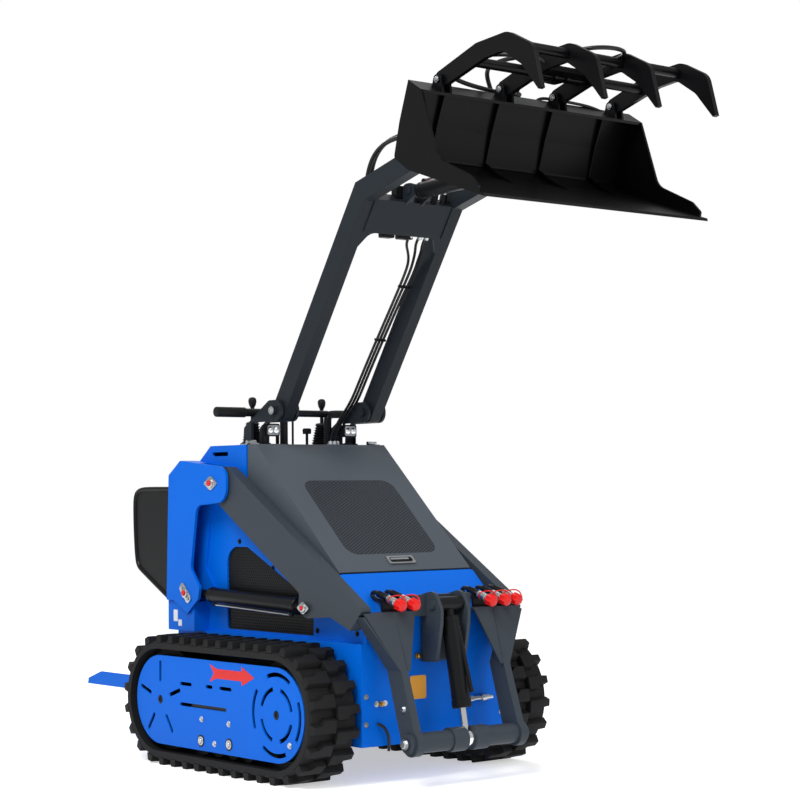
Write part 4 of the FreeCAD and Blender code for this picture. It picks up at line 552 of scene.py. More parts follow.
placed = add_node(mesh_group, "GeometryNodeSetPosition",
                  inputs={"Geometry": grid.outputs[0], "Offset": offset.outputs[0]})
here = add_node(mesh_group, "GeometryNodeInputPosition")
above = add_node(mesh_group, VECTOR_MATH, {"operation": "ADD"},
                 {0: here.outputs[0], 1: (0.0, 0.0, RAY_START)})
ray = add_node(mesh_group, "GeometryNodeRaycast", inputs={
    "Target Geometry": given["Geometry"], "Source Position": above.outputs[0],
    "Ray Direction": (0, 0, -1), "Ray Length": RAY_LENGTH})
missed = add_node(mesh_group, "FunctionNodeBooleanMath", {"operation": "NOT"},
                  {0: ray.outputs["Is Hit"]})
kept = add_node(mesh_group, "GeometryNodeDeleteGeometry",
                inputs={"Geometry": placed.outputs[0], "Selection": missed.outputs[0]})

# %% A group that perforates a sheet: the tiles
tile_radius = add_node(mesh_group, MATH, {"operation": "DIVIDE"},
                       {0: given["Pitch"], 1: math.sqrt(3)})
tile_edge = add_node(mesh_group, "GeometryNodeCurvePrimitiveCircle",
                     inputs={"Resolution": 6, "Radius": tile_radius.outputs[0]})
tile = add_node(mesh_group, "GeometryNodeTransform",
                inputs={0: tile_edge.outputs[0], "Rotation": (0, 0, math.radians(30))})
hole = add_node(mesh_group, "GeometryNodeCurvePrimitiveCircle",
                inputs={"Resolution": 8, "Radius": given["Hole Radius"]})
loops = add_node(mesh_group, "GeometryNodeJoinGeometry")
for source in (hole, tile):
    mesh_group.links.new(source.outputs[0], loops.inputs[0])
face = add_node(mesh_group, "GeometryNodeFillCurve", inputs={0: loops.outputs[0]})
tiles = add_node(mesh_group, "GeometryNodeInstanceOnPoints",
                 inputs={"Points": kept.outputs[0], "Instance": face.outputs[0]})
real = add_node(mesh_group, "GeometryNodeRealizeInstances", inputs={0: tiles.outputs[0]})
joined = add_node(mesh_group, "GeometryNodeMergeByDistance",
                  inputs={0: real.outputs[0], "Distance": SEAM})
raised = add_node(mesh_group, "GeometryNodeExtrudeMesh", inputs={
    "Mesh": joined.outputs[0], "Offset": (0, 0, 1), "Offset Scale": given["Thickness"],
    "Individual": False})
under = add_node(mesh_group, "GeometryNodeFlipFaces", inputs={0: joined.outputs[0]})
shell = add_node(mesh_group, "GeometryNodeJoinGeometry")
for source in (raised, under):
    mesh_group.links.new(source.outputs[0], shell.inputs[0])
closed = add_node(mesh_group, "GeometryNodeMergeByDistance",
                  inputs={0: shell.outputs[0], "Distance": SEAM})
coated = add_node(mesh_group, "GeometryNodeSetMaterial",
                  inputs={"Geometry": closed.outputs[0], "Material": given["Material"]})
add_node(mesh_group, "NodeGroupOutput", inputs={0: coated.outputs[0]})


# The sheet lies with its outline's origin at a corner, across and upward.
def perforated(name, outline, corner, across, upward, sizes, material, body):
    pitch, hole_radius, thickness = (v / 1000 for v in sizes)
    flat = bpy.data.meshes.new(name + "_flat")
    flat.from_pydata([(x / 1000, y / 1000, 0) for x, y in outline], [],
                     [tuple(range(len(outline)))])
    data = grow(flat, mesh_group, {"Pitch": pitch, "Hole Radius": hole_radius,
                                   "Thickness": thickness, "Material": material})
    axes = Matrix((across, upward, across.cross(upward))).transposed().to_4x4()
    data.transform(Matrix.Translation(corner) @ axes)
    return settle(name, data, material, body)


print("nodes in the two groups:", len(copy_group.nodes), "and", len(mesh_group.nodes))

# %% [markdown]
# Each track is one endless rubber loop with steel cords inside. Its belt is
# a band with bevelled edges, made as rings round the two axles and joined in
# a closed loop.

# %% Belts of the tracks
HALF_SPACING, AXLE_HEIGHT = 339, 218.28
BELT_INNER, BELT_OUTER = 172, 196
TRACK_MIDDLE, TRACK_HALF = 400, 90
EDGE_DROP, EDGE_IN = 5, 6
BEND_STEPS = 24
RIM = [(BELT_INNER, -TRACK_HALF), (BELT_INNER, TRACK_HALF), (BELT_OUTER - EDGE_DROP, TRACK_HALF),
       (BELT_OUTER, TRACK_HALF - EDGE_IN), (BELT_OUTER, EDGE_IN - TRACK_HALF),
       (BELT_OUTER - EDGE_DROP, -TRACK_HALF)]


def loop_frame(centre, turned):
    out = Vector((math.sin(turned), 0, math.cos(turned)))
    return Vector((AXLE_MIDDLE + centre / 1000, 0, AXLE_HEIGHT / 1000)), out, Y.cross(out)


def belt(side):
    mesh = bmesh.new()
    bend = [math.pi * k / BEND_STEPS for k in range(BEND_STEPS + 1)]
    stations = [(HALF_SPACING, turn) for turn in bend]
    stations += [(-HALF_SPACING, math.pi + turn) for turn in bend]
    rings = []
    for centre, turn in stations:
        middle, out, _ = loop_frame(centre, turn)
        rings.append([mesh.verts.new(middle + out * r / 1000
                                     + Y * (side * TRACK_MIDDLE + y) / 1000) for r, y in RIM])
    for k in range(len(rings)):
        low, high = rings[k - 1], rings[k]
        for i in range(len(RIM)):
            j = (i + 1) % len(RIM)
            mesh.faces.new((low[i], low[j], high[j], high[i]))
    return mesh


for word, side in SIDES:
    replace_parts(piece("belt_" + word, belt(side), RUBBER, "machine"),
                "track_" + word)
tell("belts")

# %% [markdown]
# The tread is two rows of stepped blocks, half a pitch apart and turned end
# for end, so that some rubber always touches the ground. The blocks taper,
# which lets mud fall out of the gaps. One block is drawn as the stamp, and
# the points follow the belt at equal steps of its length.

# %% Tread of the tracks
LUG_PAIRS = 36
ROW_OFFSET = 46
LUG_FOOT = [(-25, -44), (25, -44), (25, -2), (7, 10), (7, 44), (-25, 44)]
LUG_TOP = [(-20, -43), (20, -43), (20, -4), (3, 8), (3, 42), (-20, 42)]
LUG_SUNK, LUG_HEIGHT, LUG_ROUND = -0.003, 0.0218, 0.0025
STRAIGHT, BEND = 2 * HALF_SPACING, math.pi * BELT_OUTER


def loop_station(distance):
    distance %= 2 * (STRAIGHT + BEND)
    if distance < STRAIGHT:
        return distance - HALF_SPACING, 0.0
    if distance < STRAIGHT + BEND:
        return HALF_SPACING, (distance - STRAIGHT) / BELT_OUTER
    if distance < 2 * STRAIGHT + BEND:
        return HALF_SPACING - (distance - STRAIGHT - BEND), math.pi
    return -HALF_SPACING, math.pi + (distance - 2 * STRAIGHT - BEND) / BELT_OUTER


def tread_block():
    mesh = bmesh.new()
    low = [mesh.verts.new((x / 1000, y / 1000, LUG_SUNK)) for x, y in LUG_FOOT]
    high = [mesh.verts.new((x / 1000, y / 1000, LUG_HEIGHT)) for x, y in LUG_TOP]
    mesh.faces.new(list(reversed(low)))
    lid = mesh.faces.new(high)
    for k in range(len(low)):
        j = (k + 1) % len(low)
        mesh.faces.new((low[k], low[j], high[j], high[k]))
    bmesh.ops.bevel(mesh, geom=list(lid.edges), offset=LUG_ROUND, segments=2, profile=0.6,
                    affect="EDGES")
    return mesh


def tread_spots(side):
    spots = []
    for k in range(2 * LUG_PAIRS):
        centre, turn = loop_station((STRAIGHT + BEND) * k / LUG_PAIRS)
        middle, out, travel = loop_frame(centre, turn)
        row_way = -1 if k % 2 == 0 else 1
        place = (middle + out * BELT_OUTER / 1000
                 + Y * (side * (TRACK_MIDDLE - row_way * ROW_OFFSET)) / 1000)
        spots.append((place, out, travel * row_way * -side))
    return spots


for word, side in SIDES:
    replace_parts(copies("tread_" + word, tread_block(), tread_spots(side), RUBBER, "machine"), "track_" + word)
tell("tread")

# %% [markdown]
# The hood's opening and the two side windows are closed with perforated
# steel sheet, which lets cooling air in and keeps leaves out. The hood's
# sheet lies on its slope, so two directions on that slope place it.

# %% Perforated sheets
SLOPE_TOP = at(-54, 0, 1078)
slope = (at(404, 0, 658) - SLOPE_TOP).normalized()
slope_out = slope.cross(Y)
GRILLE = rounded_box(183, 545, -192, 192, 45, 6)
WINDOW = [(-232, 447), (-232, 738), (-103, 738), (277, 563), (277, 447)]
WINDOW_FACE = 270.05

# Through the sheet's holes the black grille plate below shows as painted shade.
perforated("hood_mesh", GRILLE, SLOPE_TOP - slope_out * 0.0014, slope, Y, (10, 3.3, 1.1),
           MESH_GREY, "hood")
for word, side in SIDES:
    perforated("window_mesh_" + word, seen_from(side, WINDOW), at(0, side * WINDOW_FACE, 0),
               X * -side, Z, (11, 3.4, 1.2), BLACK, "machine")
tell("perforated sheets")

# %% [markdown]
# Bolts hold everything that a mechanic has to take off. All are copies of
# one stamp, a six-sided head with a chamfer on a round washer. A table gives
# each group its sizes, its places with the way they face, and its body.

# %% Bolts
COVER_FACE, PANEL_FACE = 477, 278
TINE_PLACES = (-355, -110, 110, 355)


def bolt_stamp(head, rise, washer):
    mesh = bmesh.new()
    top = 1.6
    lathe(mesh, ORIGIN, Z, [(-1, washer), (top, washer)], 20)
    lathe(mesh, ORIGIN, Z, [(top, head * 0.97), (top + rise * 0.85, head),
                            (top + rise, head * 0.86)], 6)
    return mesh


def outward(y, spots):
    return [((x, side * y, z), Y * side) for _, side in SIDES for x, z in spots]


# Name, head radius, head height, washer radius, places and facings, material, body, slot
BOLTS = [
    ("cover_bolts", 7, 5, 10, outward(COVER_FACE, [(-83, 172), (76, 169), (-7, 98), (412, 130)]),
     ZINC, "machine", "latch_steel"),
    ("panel_bolts", 5.5, 4, 9, outward(PANEL_FACE, [
        (-149, 750), (45, 664), (200, 600), (290, 470), (500, 470), (-440, 930), (-440, 700)]),
     BLACK, "machine", "black_paint"),
    ("boom_pin_bolts", 9, 6, 14, outward(239, [BOOM_PIN]), ZINC, "machine", "latch_steel"),
    ("tip_pin_bolts", 9, 6, 13, outward(215, [BOOM_TIP]), ZINC, "upper_boom", "latch_steel"),
    ("tube_end_bolts", 13, 8, 17, outward(248, [FRONT_TUBE]), ZINC, "lift_frame",
     "latch_steel"),
    ("leg_bolts", 8, 6, 12, outward(225, [(662, 243)]), ZINC, "lift_frame", "latch_steel"),
    ("nose_bolts", 5.5, 4, 9, [((TUB_FRONT, y, z), X) for y, z in (
        (-280, 276), (-281, 190), (-239, 251), (-205, 252), (280, 276), (280, 190))],
     ZINC, "machine", "latch_steel"),
    ("tail_bolts", 5.5, 4, 9, [((TUB_REAR, y, z), -X) for y in (-245, 245)
                               for z in (480, 700, 930)], BLACK, "machine", "black_paint"),
    ("tine_bolts", 7, 5, 10, [((GRAPPLE_PIN[0], y + way * 22, GRAPPLE_PIN[1]), Y * way)
                              for y in TINE_PLACES for way in (-1, 1)],
     ZINC, "bucket", "latch_steel"),
]
for name, head, rise, washer, spots, material, body, slot in BOLTS:
    copies(name, bolt_stamp(head, rise, washer), [(at(*spot), way, Z) for spot, way in spots],
           material, body)
tell("bolts")

# %% [markdown]
# A lock plate keeps each pin of the lift arm from turning and creeping out.
# It is cut from zinc-plated steel, held by two screws, and a red cap closes
# the pin's grease hole. Plates are prisms and caps are turned, and both
# stand on the outer face of the tower.

# %% Lock plates and pin caps
TOWER_FACE, LUG_FACE = 348.05, 340.05
DIAMOND = rounded([(-43, 0), (0, -27), (43, 0), (0, 27)], 12, 5)
BAR = rounded_box(-39, 39, -17, 17, 14, 5)
SMALL_DIAMOND = [(u * 0.8, v * 0.8) for u, v in DIAMOND]
SCREW_PLACE = 27

for word, side in SIDES:
    way = Y * side
    mesh = bmesh.new()
    for (x, z), outline, degrees in ((LIFT_PIN, DIAMOND, 0), (RAM_FOOT, BAR, -45)):
        c, s = math.cos(math.radians(degrees)), math.sin(math.radians(degrees))
        spun = [(u * c - v * s, u * s + v * c) for u, v in outline]
        prism(mesh, seen_from(side, spun), at(x, side * TOWER_FACE, z), X * -side, Z, 4)
        for u in (-SCREW_PLACE, SCREW_PLACE):
            lathe(mesh, at(x + u * c, side * 352, z + u * s), way, [(0, 6), (4, 6), (5, 4.5)], 6)
        lathe(mesh, at(x, side * 352, z), way, [(0, 17), (4, 17), (5, 15.5)], 28)
    piece("lock_plates_" + word, mesh, ZINC, "machine", 0.6)
    mesh = bmesh.new()
    prism(mesh, seen_from(side, SMALL_DIAMOND), at(RAM_EYE[0], side * LUG_FACE, RAM_EYE[1]),
          X * -side, Z, 4)
    lathe(mesh, at(RAM_EYE[0], side * 344, RAM_EYE[1]), way, [(0, 15), (4, 15), (5, 13)], 28)
    piece("arm_lug_plate_" + word, mesh, ZINC, "lift_frame", 0.6)
    turned_piece("arm_lug_cap_" + word, [at(RAM_EYE[0], side * 348, RAM_EYE[1])], way,
                 [(0, 8), (3, 8), (5, 5)], 24, RED_PLASTIC, "lift_frame")
    turned_piece("pin_caps_" + word, [at(x, side * 357, z) for x, z in (LIFT_PIN, RAM_FOOT)],
                 way, [(0, 10), (3, 10), (5, 8), (5.6, 4)], 24, RED_PLASTIC, "machine")
tell("lock plates and caps")

# %% [markdown]
# A blue cover shields each track's wheels. It shows a red arrow for the way
# forward, two round bosses, and a black plug on each axle. The arrow is thin
# film on the real cover. Here it is a prism that is thin enough to read as
# film, and the bosses and plugs are turned.

# %% Arrow and bosses on the track covers
ARROW = [(-35, 356), (6, 342), (150, 342), (150, 357), (220, 326), (150, 296), (150, 311),
         (6, 311), (-35, 298), (-10, 327)]
FILM = 0.8
BOSSES = ((-89, 101), (75, 103))
PLUG_FACE = 470

for word, side in SIDES:
    way = Y * side
    mesh = bmesh.new()
    prism(mesh, seen_from(side, ARROW), at(0, side * COVER_FACE, 0), X * -side, Z, FILM)
    piece("arrow_" + word, mesh, RED_PLASTIC, "machine")
    boss_starts = [at(x, side * COVER_FACE, z) for x, z in BOSSES]
    turned_piece("cover_bosses_" + word, boss_starts, way,
                 [(0, 15), (2, 15), (3, 14), (3, 10), (5, 9.5), (7, 8)], 28, ZINC, "machine")
    mesh = bmesh.new()
    for start in boss_starts:
        lathe(mesh, start, way, [(-1, 20), (1.2, 20)], 32)
    for x in (-HALF_SPACING, HALF_SPACING):
        lathe(mesh, at(x, side * PLUG_FACE, AXLE_HEIGHT), way,
              [(0, 14.4), (6, 14.4), (7, 12), (7, 8), (4, 7.5)], 28)
    piece("cover_rings_" + word, mesh, BLACK, "machine")
tell("arrow and bosses")

# %% [markdown]
# Black guards keep the operator's arms away from the lift arms. Each is a
# bent round bar with a thin sheet welded into it, so the rim is swept like a
# hose and the sheet is a prism.

# %% Guards at the rear corners
GUARD_RIM = [(-476, 929), (-640, 931), (-700, 930), (-736, 916), (-740, 868), (-736, 770),
             (-729, 690), (-718, 654), (-690, 640), (-600, 593), (-476, 530)]
GUARD_FACE = [(-476, 929), (-694, 930), (-736, 912), (-737, 780), (-727, 658), (-476, 530)]
RIM_PLACE, SHEET_PLACE = 328, 325
RIM_RADIUS, SHEET_THICK = 9, 5

for word, side in SIDES:
    rim = hoses("guard_rim_" + word, [[(x, side * RIM_PLACE, z) for x, z in GUARD_RIM]],
                RIM_RADIUS, BLACK, "machine")
    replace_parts(rim, "rear_guard_" + word)
    mesh = bmesh.new()
    prism(mesh, seen_from(side, GUARD_FACE), at(0, side * SHEET_PLACE, 0), X * -side, Z,
          SHEET_THICK)
    piece("guard_face_" + word, mesh, BLACK, "machine")
tell("rear guards")

# %% [markdown]
# Quick couplers let an operator plug a tool's hoses in by hand. Each has a
# black six-sided body and knurled zinc collars, and a red ribbed dust cap
# that hangs on a ring and a strap. All are turned shapes, so a profile each
# is enough, and the same profiles serve again on the boom's knee.

# %% Front couplers
COUPLER_FOOT = (520, 594)
COUPLER_LENGTH = 104
coupler_way = Vector((0.9598, 0, -0.2806))
COUPLERS = [-210, -155, 165, 225, 274]
BODY_PROFILE = [(0, 8), (4, 12), (16, 12), (16, 10), (20, 10), (20, 13), (48, 13), (50, 11.5),
                (56, 11.5)]
COLLAR_PROFILE = [(54, 11), (56, 12.6), (66, 12.6), (67, 11), (72, 11), (73, 13), (92, 13),
                  (94, 11.5), (104, 11.5)]
CAP_RING = [(0, 13.6), (3.5, 13.6)]


def coupler(body_mesh, collar_mesh, start, way, reach=COUPLER_LENGTH):
    share = reach / COUPLER_LENGTH
    lathe(body_mesh, start, way, [(d * share, r) for d, r in BODY_PROFILE], 6)
    lathe(collar_mesh, start, way, [(d * share, r) for d, r in COLLAR_PROFILE], 28)


def dust_cap(mesh, start, way, radius, length):
    lathe(mesh, start, way, [(0, radius * 0.9), (2, radius), (length * 0.7, radius),
                             (length * 0.9, radius * 0.88), (length, radius * 0.6)], 16, 0.86)


body_mesh, collar_mesh, cap_mesh = bmesh.new(), bmesh.new(), bmesh.new()
for y in COUPLERS:
    start = at(COUPLER_FOOT[0], y, COUPLER_FOOT[1])
    coupler(body_mesh, collar_mesh, start, coupler_way)
    dust_cap(cap_mesh, start + coupler_way * 0.1035, coupler_way, 20, 30)
    lathe(cap_mesh, start + coupler_way * 0.068, coupler_way, CAP_RING, 24)
for low, high in ((-228, -138), (148, 290)):
    prism(body_mesh, rounded_box(low, high, 538, 578, 5), at(556, 0, 0), Y, Z, 8)
piece("coupler_bodies", body_mesh, BLACK, "lift_frame", 0.5)
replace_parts(piece("coupler_collars", collar_mesh, ZINC, "lift_frame"),
            "front_couplers")
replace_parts(piece("dust_caps", cap_mesh, RED_PLASTIC, "lift_frame"),
            "coupler_caps")
hoses("cap_straps", [[(589, y, 586), (600, y + 17, 592), (624, y + 24, 588),
                      (640, y + 18, 572), (646, y + 8, 562)] for y in COUPLERS],
      2.2, RED_PLASTIC, "lift_frame")
hoses("coupler_hoses", [[(523, y, 593), (510, y, 598), (497, y, 598), (489, y, 590),
                         (496, y, 580), (516, y, 573), (538, y, 568), (558, y, 562)]
                        for y in COUPLERS], 7, HOSE, "lift_frame")
tell("front couplers")

# %% [markdown]
# Low on the tub's front sit a bent hose, a pipe union on two studs and two
# brass plugs. The hose is a swept curve, and the rest is turned.

# %% Fittings on the tub's front
hoses("drain_hose", [[(548, -239, 190), (560, -226, 186), (560, -204, 160),
                      (558, -199, 130), (552, -198, 104)]], 5, HOSE, "machine")
mesh = bmesh.new()
lathe(mesh, at(558, 112, 243), Y, [(0, 6), (20, 6), (20, 10), (34, 10), (34, 7), (70, 7),
                                  (70, 11), (88, 11), (88, 6), (118, 6)], 16)
for y in (128, 214):
    lathe(mesh, at(TUB_FRONT, y, 243), X, [(0, 8), (14, 8)], 12)
piece("pipe_union", mesh, ZINC, "machine")
mesh = bmesh.new()
lathe(mesh, at(TUB_FRONT, -74, 392), X, [(0, 11), (6, 11), (6, 8), (16, 8), (17, 6)], 6)
lathe(mesh, at(TUB_FRONT, -222, 251), X, [(0, 9), (5, 9), (5, 6), (14, 6)], 6)
piece("tub_fittings", mesh, BRASS, "machine")
tell("tub fittings")

# %% [markdown]
# Three hydraulic hoses run up inside the boom. They leave ports on the deck, cross the boom's hinge with a
# little slack, lie beside the left arm under two thin ties, and fan out under the knee plate. A hose that
# crosses a hinge can't ride on one body, so it is put in place on no body.

# %% Hoses of the boom
FERRULE = [(-2, 1), (0, 1.3), (14, 1.3), (16, 1.1), (19, 1.1), (19, 1.6), (30, 1.6), (31, 1.3)]
TIE_WAY = Vector((0.5519, 0, 0.8339))


def ferrule(mesh, start, way, radius):
    lathe(mesh, start, way, [(d, radius * share) for d, share in FERRULE], 18)


boom_lines = []
for k, (y, top_y) in enumerate(((152, 113), (138, 85), (124, 44))):
    back = 6 * k
    boom_lines.append([
        (-140 - back, y - 10, 1086), (-138 - back, y - 10, 1112), (-120, y - 4, 1160),
        (-72, y, 1205), (-34, y, 1246), (2, y, 1300), (104, y, 1440), (200, y, 1567),
        (276 - back, y, 1656), (302 - back, y - 8, 1690), (336 - back, (y + top_y) / 2, 1716),
        (358, top_y + 4, 1734), (374, top_y, 1748), (386, top_y, 1762)])
boom_hoses = hoses("boom_hoses", boom_lines, 4.7, HOSE, None)
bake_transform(boom_hoses)
turned_piece("deck_ports", [at(line[0][0], line[0][1], DECK_TOP) for line in boom_lines], Z,
             [(0, 13), (8, 13), (9, 10), (16, 10)], 6, ZINC, "machine", 0.5)
mesh = bmesh.new()
for line in boom_lines:
    ferrule(mesh, at(*line[-1]) - Z * 0.012, Vector((0.5, 0, 0.86)), 6)
piece("boom_ferrules", mesh, ZINC, "upper_boom")
mesh = bmesh.new()
for low, high in ((-76, -28), (-6, 50)):
    prism(mesh, rounded_box(low, high, 1744, 1782, 6), at(368, 0, 0), Y, Z, 26)
piece("boom_manifold", mesh, BLACK, "upper_boom", 1.0)
for k, (x, z) in enumerate(((104, 1440), (236, 1612))):
    mesh = bmesh.new()
    prism(mesh, rounded_box(116, 162, -7, 7, 5), at(x, 0, z) - TIE_WAY * 0.003, Y,
          TIE_WAY.cross(Y) * -1, 6)
    piece("hose_clamp_%d" % k, mesh, BLACK_NYLON_AND_SHADE, "upper_boom", 1.0)
tell("boom hoses")

# %% [markdown]
# Two hoses arch over the knee to the bucket, and two more reach on to the grapple's ram. Each arch has the
# slack that its joint takes up, and each is put in place on no body, as it crosses the joint between two
# bodies.

# %% Hoses of the bucket and the grapple
KNEE_PLACES = (-150, -136)
knee_lines = []
for k, y in enumerate(KNEE_PLACES):
    rise = 10 * k
    knee_lines.append([
        (404, y, 1870), (402, y, 1912), (414, y, 1960 + rise), (446, y, 2004 + rise),
        (500, y, 2032 + rise), (580, y, 2040 + rise), (680, y + 10, 2036 + rise),
        (780, y + 40, 2030 + rise), (850, y + 75, 2040 + rise), (905, y + 95, 2052 + rise),
        (935, y + 100, 2060 + rise)])
knee_hoses = hoses("knee_hoses", knee_lines, 7.5, HOSE, None)
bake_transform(knee_hoses)
mesh = bmesh.new()
for y in KNEE_PLACES:
    ferrule(mesh, at(404, y, 1880), -Z, 7.5)
piece("knee_ferrules", mesh, ZINC, "upper_boom")

GRAPPLE_LINES = [
    [(985, -60, 2120), (976, -160, 2128), (984, -270, 2138), (1004, -318, 2158),
     (1032, -300, 2188), (1085, -250, 2199), (1140, -200, 2199), (1180, -168, 2190),
     (1196, -140, 2172)],
    [(940, -48, 2072), (938, -90, 2150), (960, -128, 2192), (1040, -150, 2199),
     (1130, -150, 2199), (1200, -130, 2190), (1214, -112, 2172)]]
TINE_LOOP = [(1160, -70, 2166), (1230, -80, 2186), (1320, -84, 2196), (1380, -40, 2198),
             (1392, 20, 2198), (1366, 72, 2198), (1314, 104, 2196), (1262, 90, 2184),
             (1240, 70, 2166)]
LIP_LINE = [(985, 62, 2112), (988, 72, 2124), (992, 110, 2125), (992, 200, 2124),
            (1002, 290, 2118), (1006, 330, 2104)]
grapple_hoses = hoses("grapple_hoses", GRAPPLE_LINES, 7, HOSE, None)
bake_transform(grapple_hoses)
hoses("grapple_loop", [TINE_LOOP], 6.5, HOSE, "grapple")
hoses("lip_hose", [LIP_LINE], 5, HOSE, "bucket")
tell("bucket and grapple hoses")

# %% [markdown]
# A ram is a barrel with a chrome rod. The gland is the nut that closes the
# barrel's end, two ports let oil in and out, and a steel pipe joins them on
# the outside. One function dresses all four rams, because only their pins,
# their radius and the side of the ports differ.

# %% Ram details
PORT_INSET, GLAND_INSET = 18, 42


def ram_fittings(name, foot, eye, y, start, end, radius, body, ports_below):
    root, tip = at(foot[0], 0, foot[1]), at(eye[0], 0, eye[1])
    way = (tip - root).normalized()
    down = way.cross(Y) * (-1 if ports_below else 1)
    middle = root + Y * y / 1000
    ports = (start + PORT_INSET, end - GLAND_INSET)
    mesh = bmesh.new()
    lathe(mesh, middle + way * (end - 26) / 1000, way,
          [(0, radius + 0.4), (2, radius + 2), (22, radius + 2), (25.5, radius - 1)], 32)
    lathe(mesh, middle + way * start / 1000, way,
          [(1, radius - 2), (3, radius + 1.2), (12, radius + 1.2), (13, radius + 0.3)], 32)
    for spot in ports:
        base = middle + way * spot / 1000 + down * (radius - 3) / 1000
        lathe(mesh, base, down, [(0, 10), (8, 10), (8, 8), (12, 8), (13, 6)], 6)
    piece(name + "_fittings", mesh, BLACK, body)
    pipe_from, pipe_to = (middle + way * spot / 1000 + down * (radius + 6) / 1000
                          for spot in ports)
    pipe = pipe_to - pipe_from
    turned_piece(name + "_pipe", [pipe_from], pipe, [(0, 4), (pipe.length * 1000, 4)], 12,
                 ZINC, body)


for word, side in SIDES:
    ram_fittings("lift_ram_" + word, RAM_FOOT, RAM_EYE, side * 312, 110, 615, 26,
                 "lift_%s_barrel" % word, True)
ram_fittings("tilt_ram", TILT_FOOT, TILT_EYE, 0, 16, 290, 27, "tilt_barrel", False)
ram_fittings("front_ram", FRONT_RAM_TOP, FRONT_TUBE, 0, 40, 330, 29, "lift_frame", True)
tell("ram details")

# %% [markdown]
# Each work lamp is a cast housing with cooling fins, held in a U bracket.
# Behind its clear front stand two round reflectors. The bright dishes are
# what the eye catches, so they are separate chrome pieces behind the lens.

# %% Work lamps
LAMP_FACE, LAMP_HEIGHT, LAMP_PLACE = -107, 1128, 166
housing, lens, dish = bmesh.new(), bmesh.new(), bmesh.new()
for _, side in SIDES:
    y = side * LAMP_PLACE
    middle = at(LAMP_FACE, y, LAMP_HEIGHT)
    prism(housing, plate_outline(55, 43, 7), middle - X * 0.0225, Y, Z, 22)
    prism(housing, plate_outline(56, 44, 7), middle - X * 0.004, Y, Z, 3)
    for k in range(5):
        prism(housing, plate_outline(48, 3, 1.2), at(-142, y, 1112 + 8 * k), Y, Z, 13)
    for way in (-1, 1):
        prism(housing, rounded_box(-9, 9, -46, 8, 5), at(-124, y + way * 29.5 - 1.5, 1126), X, Z,
              -3)
        lathe(dish, at(-105.4, y + way * 12, LAMP_HEIGHT), X, [(0, 10.5), (1.2, 10.5), (2, 9)],
              24)
    prism(housing, plate_outline(64, 20, 4), at(-124, y, DECK_TOP + 1), Y, X, -3)
    prism(lens, plate_outline(46, 34, 7), middle - X * 0.0015, Y, Z, 2.5)
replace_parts(piece("lamp_housings", housing, BLACK, "machine", 0.6),
            "work_lamps")
piece("lamp_lenses", lens, LENS, "machine")
piece("lamp_reflectors", dish, CHROME, "machine")
tell("work lamps")

# %% [markdown]
# The operator stands behind the machine and works two levers. A rubber
# bellows keeps dirt out of each lever's joint. Its folds grow smaller towards
# the top, so a loop writes the profile and the lathe spins it.

# %% Levers in their bellows
LEVER_X, LEVER_PLACE = -254, 150
FOLDS, FOLD_PITCH = 8, 9
lever_feet = [at(LEVER_X, side * LEVER_PLACE, DECK_TOP) for _, side in SIDES]
folds = [(0, 44), (4, 44), (5, 40)]
for k in range(FOLDS):
    wide = 38 - 1.9 * k
    folds += [(8 + FOLD_PITCH * k, wide - 5), (12.5 + FOLD_PITCH * k, wide)]
folds += [(82, 20), (84, 9)]
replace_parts(turned_piece("lever_bellows", lever_feet, Z, folds, 32, HOSE, "machine"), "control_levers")
turned_piece("lever_sticks", lever_feet, Z, [(80, 6.5), (132, 6.5), (132, 8), (137, 8)], 16,
             BLACK, "machine")
turned_piece("lever_knobs", lever_feet, Z,
             [(134, 6), (137, 9.5), (144, 12.4), (154, 14.4), (161, 13.8), (166, 11.2),
              (169.4, 6)], 28, BLACK_NYLON_AND_SHADE, "machine")
tell("levers")

# %% [markdown]
# A fixed bar across the deck gives the operator something to hold. Its two
# outer runs bend down into posts, and plain grips cover the ends. The bars
# are swept like hoses. Two small knobs stand between the levers, as a choke
# and a throttle would.

# %% Hand rails and deck knobs
RAIL_X, RAIL_HEIGHT, RAIL_RADIUS = -190, 1190, 14.5
RAILS = ((-345, -62, -1), (345, 128, 1))
rail_lines = [[(RAIL_X, end, RAIL_HEIGHT), (RAIL_X, end * 0.6, RAIL_HEIGHT),
               (RAIL_X, post + way * 60, RAIL_HEIGHT), (RAIL_X, post + way * 12, RAIL_HEIGHT),
               (RAIL_X, post, 1182), (RAIL_X, post, 1150), (RAIL_X, post, 1110),
               (RAIL_X, post, DECK_TOP + 1)] for end, post, way in RAILS]
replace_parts(hoses("rail_bars", rail_lines, RAIL_RADIUS, BLACK, "machine"),
            "hand_rails")
mesh = bmesh.new()
lathe(mesh, at(RAIL_X, -60, RAIL_HEIGHT), Y, [(0, 12), (186, 12)], 24)
for _, post, _ in RAILS:
    lathe(mesh, at(RAIL_X, post, DECK_TOP), Z, [(0, 16.4), (5, 16.4), (7, 15)], 28)
piece("rail_middle", mesh, BLACK, "machine")
mesh = bmesh.new()
for _, side in SIDES:
    lathe(mesh, at(RAIL_X, side * 346, RAIL_HEIGHT), Y * -side,
          [(0, 12), (1, 16.5), (4, 17.5), (118, 17.5), (121, 15)], 28)
piece("rail_grips", mesh, BLACK_NYLON_AND_SHADE, "machine")
mesh = bmesh.new()
lathe(mesh, at(LEVER_X, 84, DECK_TOP), Z,
      [(0, 12), (6, 12), (6, 5), (44, 5), (44, 15), (60, 16), (64, 12)], 20, 0.8)
lathe(mesh, at(LEVER_X, 22, DECK_TOP), Z,
      [(0, 9), (5, 9), (6, 4), (140, 4), (141, 9), (152, 9), (155, 6)], 16)
piece("deck_knobs", mesh, BLACK_NYLON_AND_SHADE, "machine")
tell("rails and knobs")

# %% [markdown]
# The deck's rear slopes towards the operator and carries a black panel with
# two round gauges and three switches. The slope's two directions place them
# all, so the panel stays flat on the sheet.

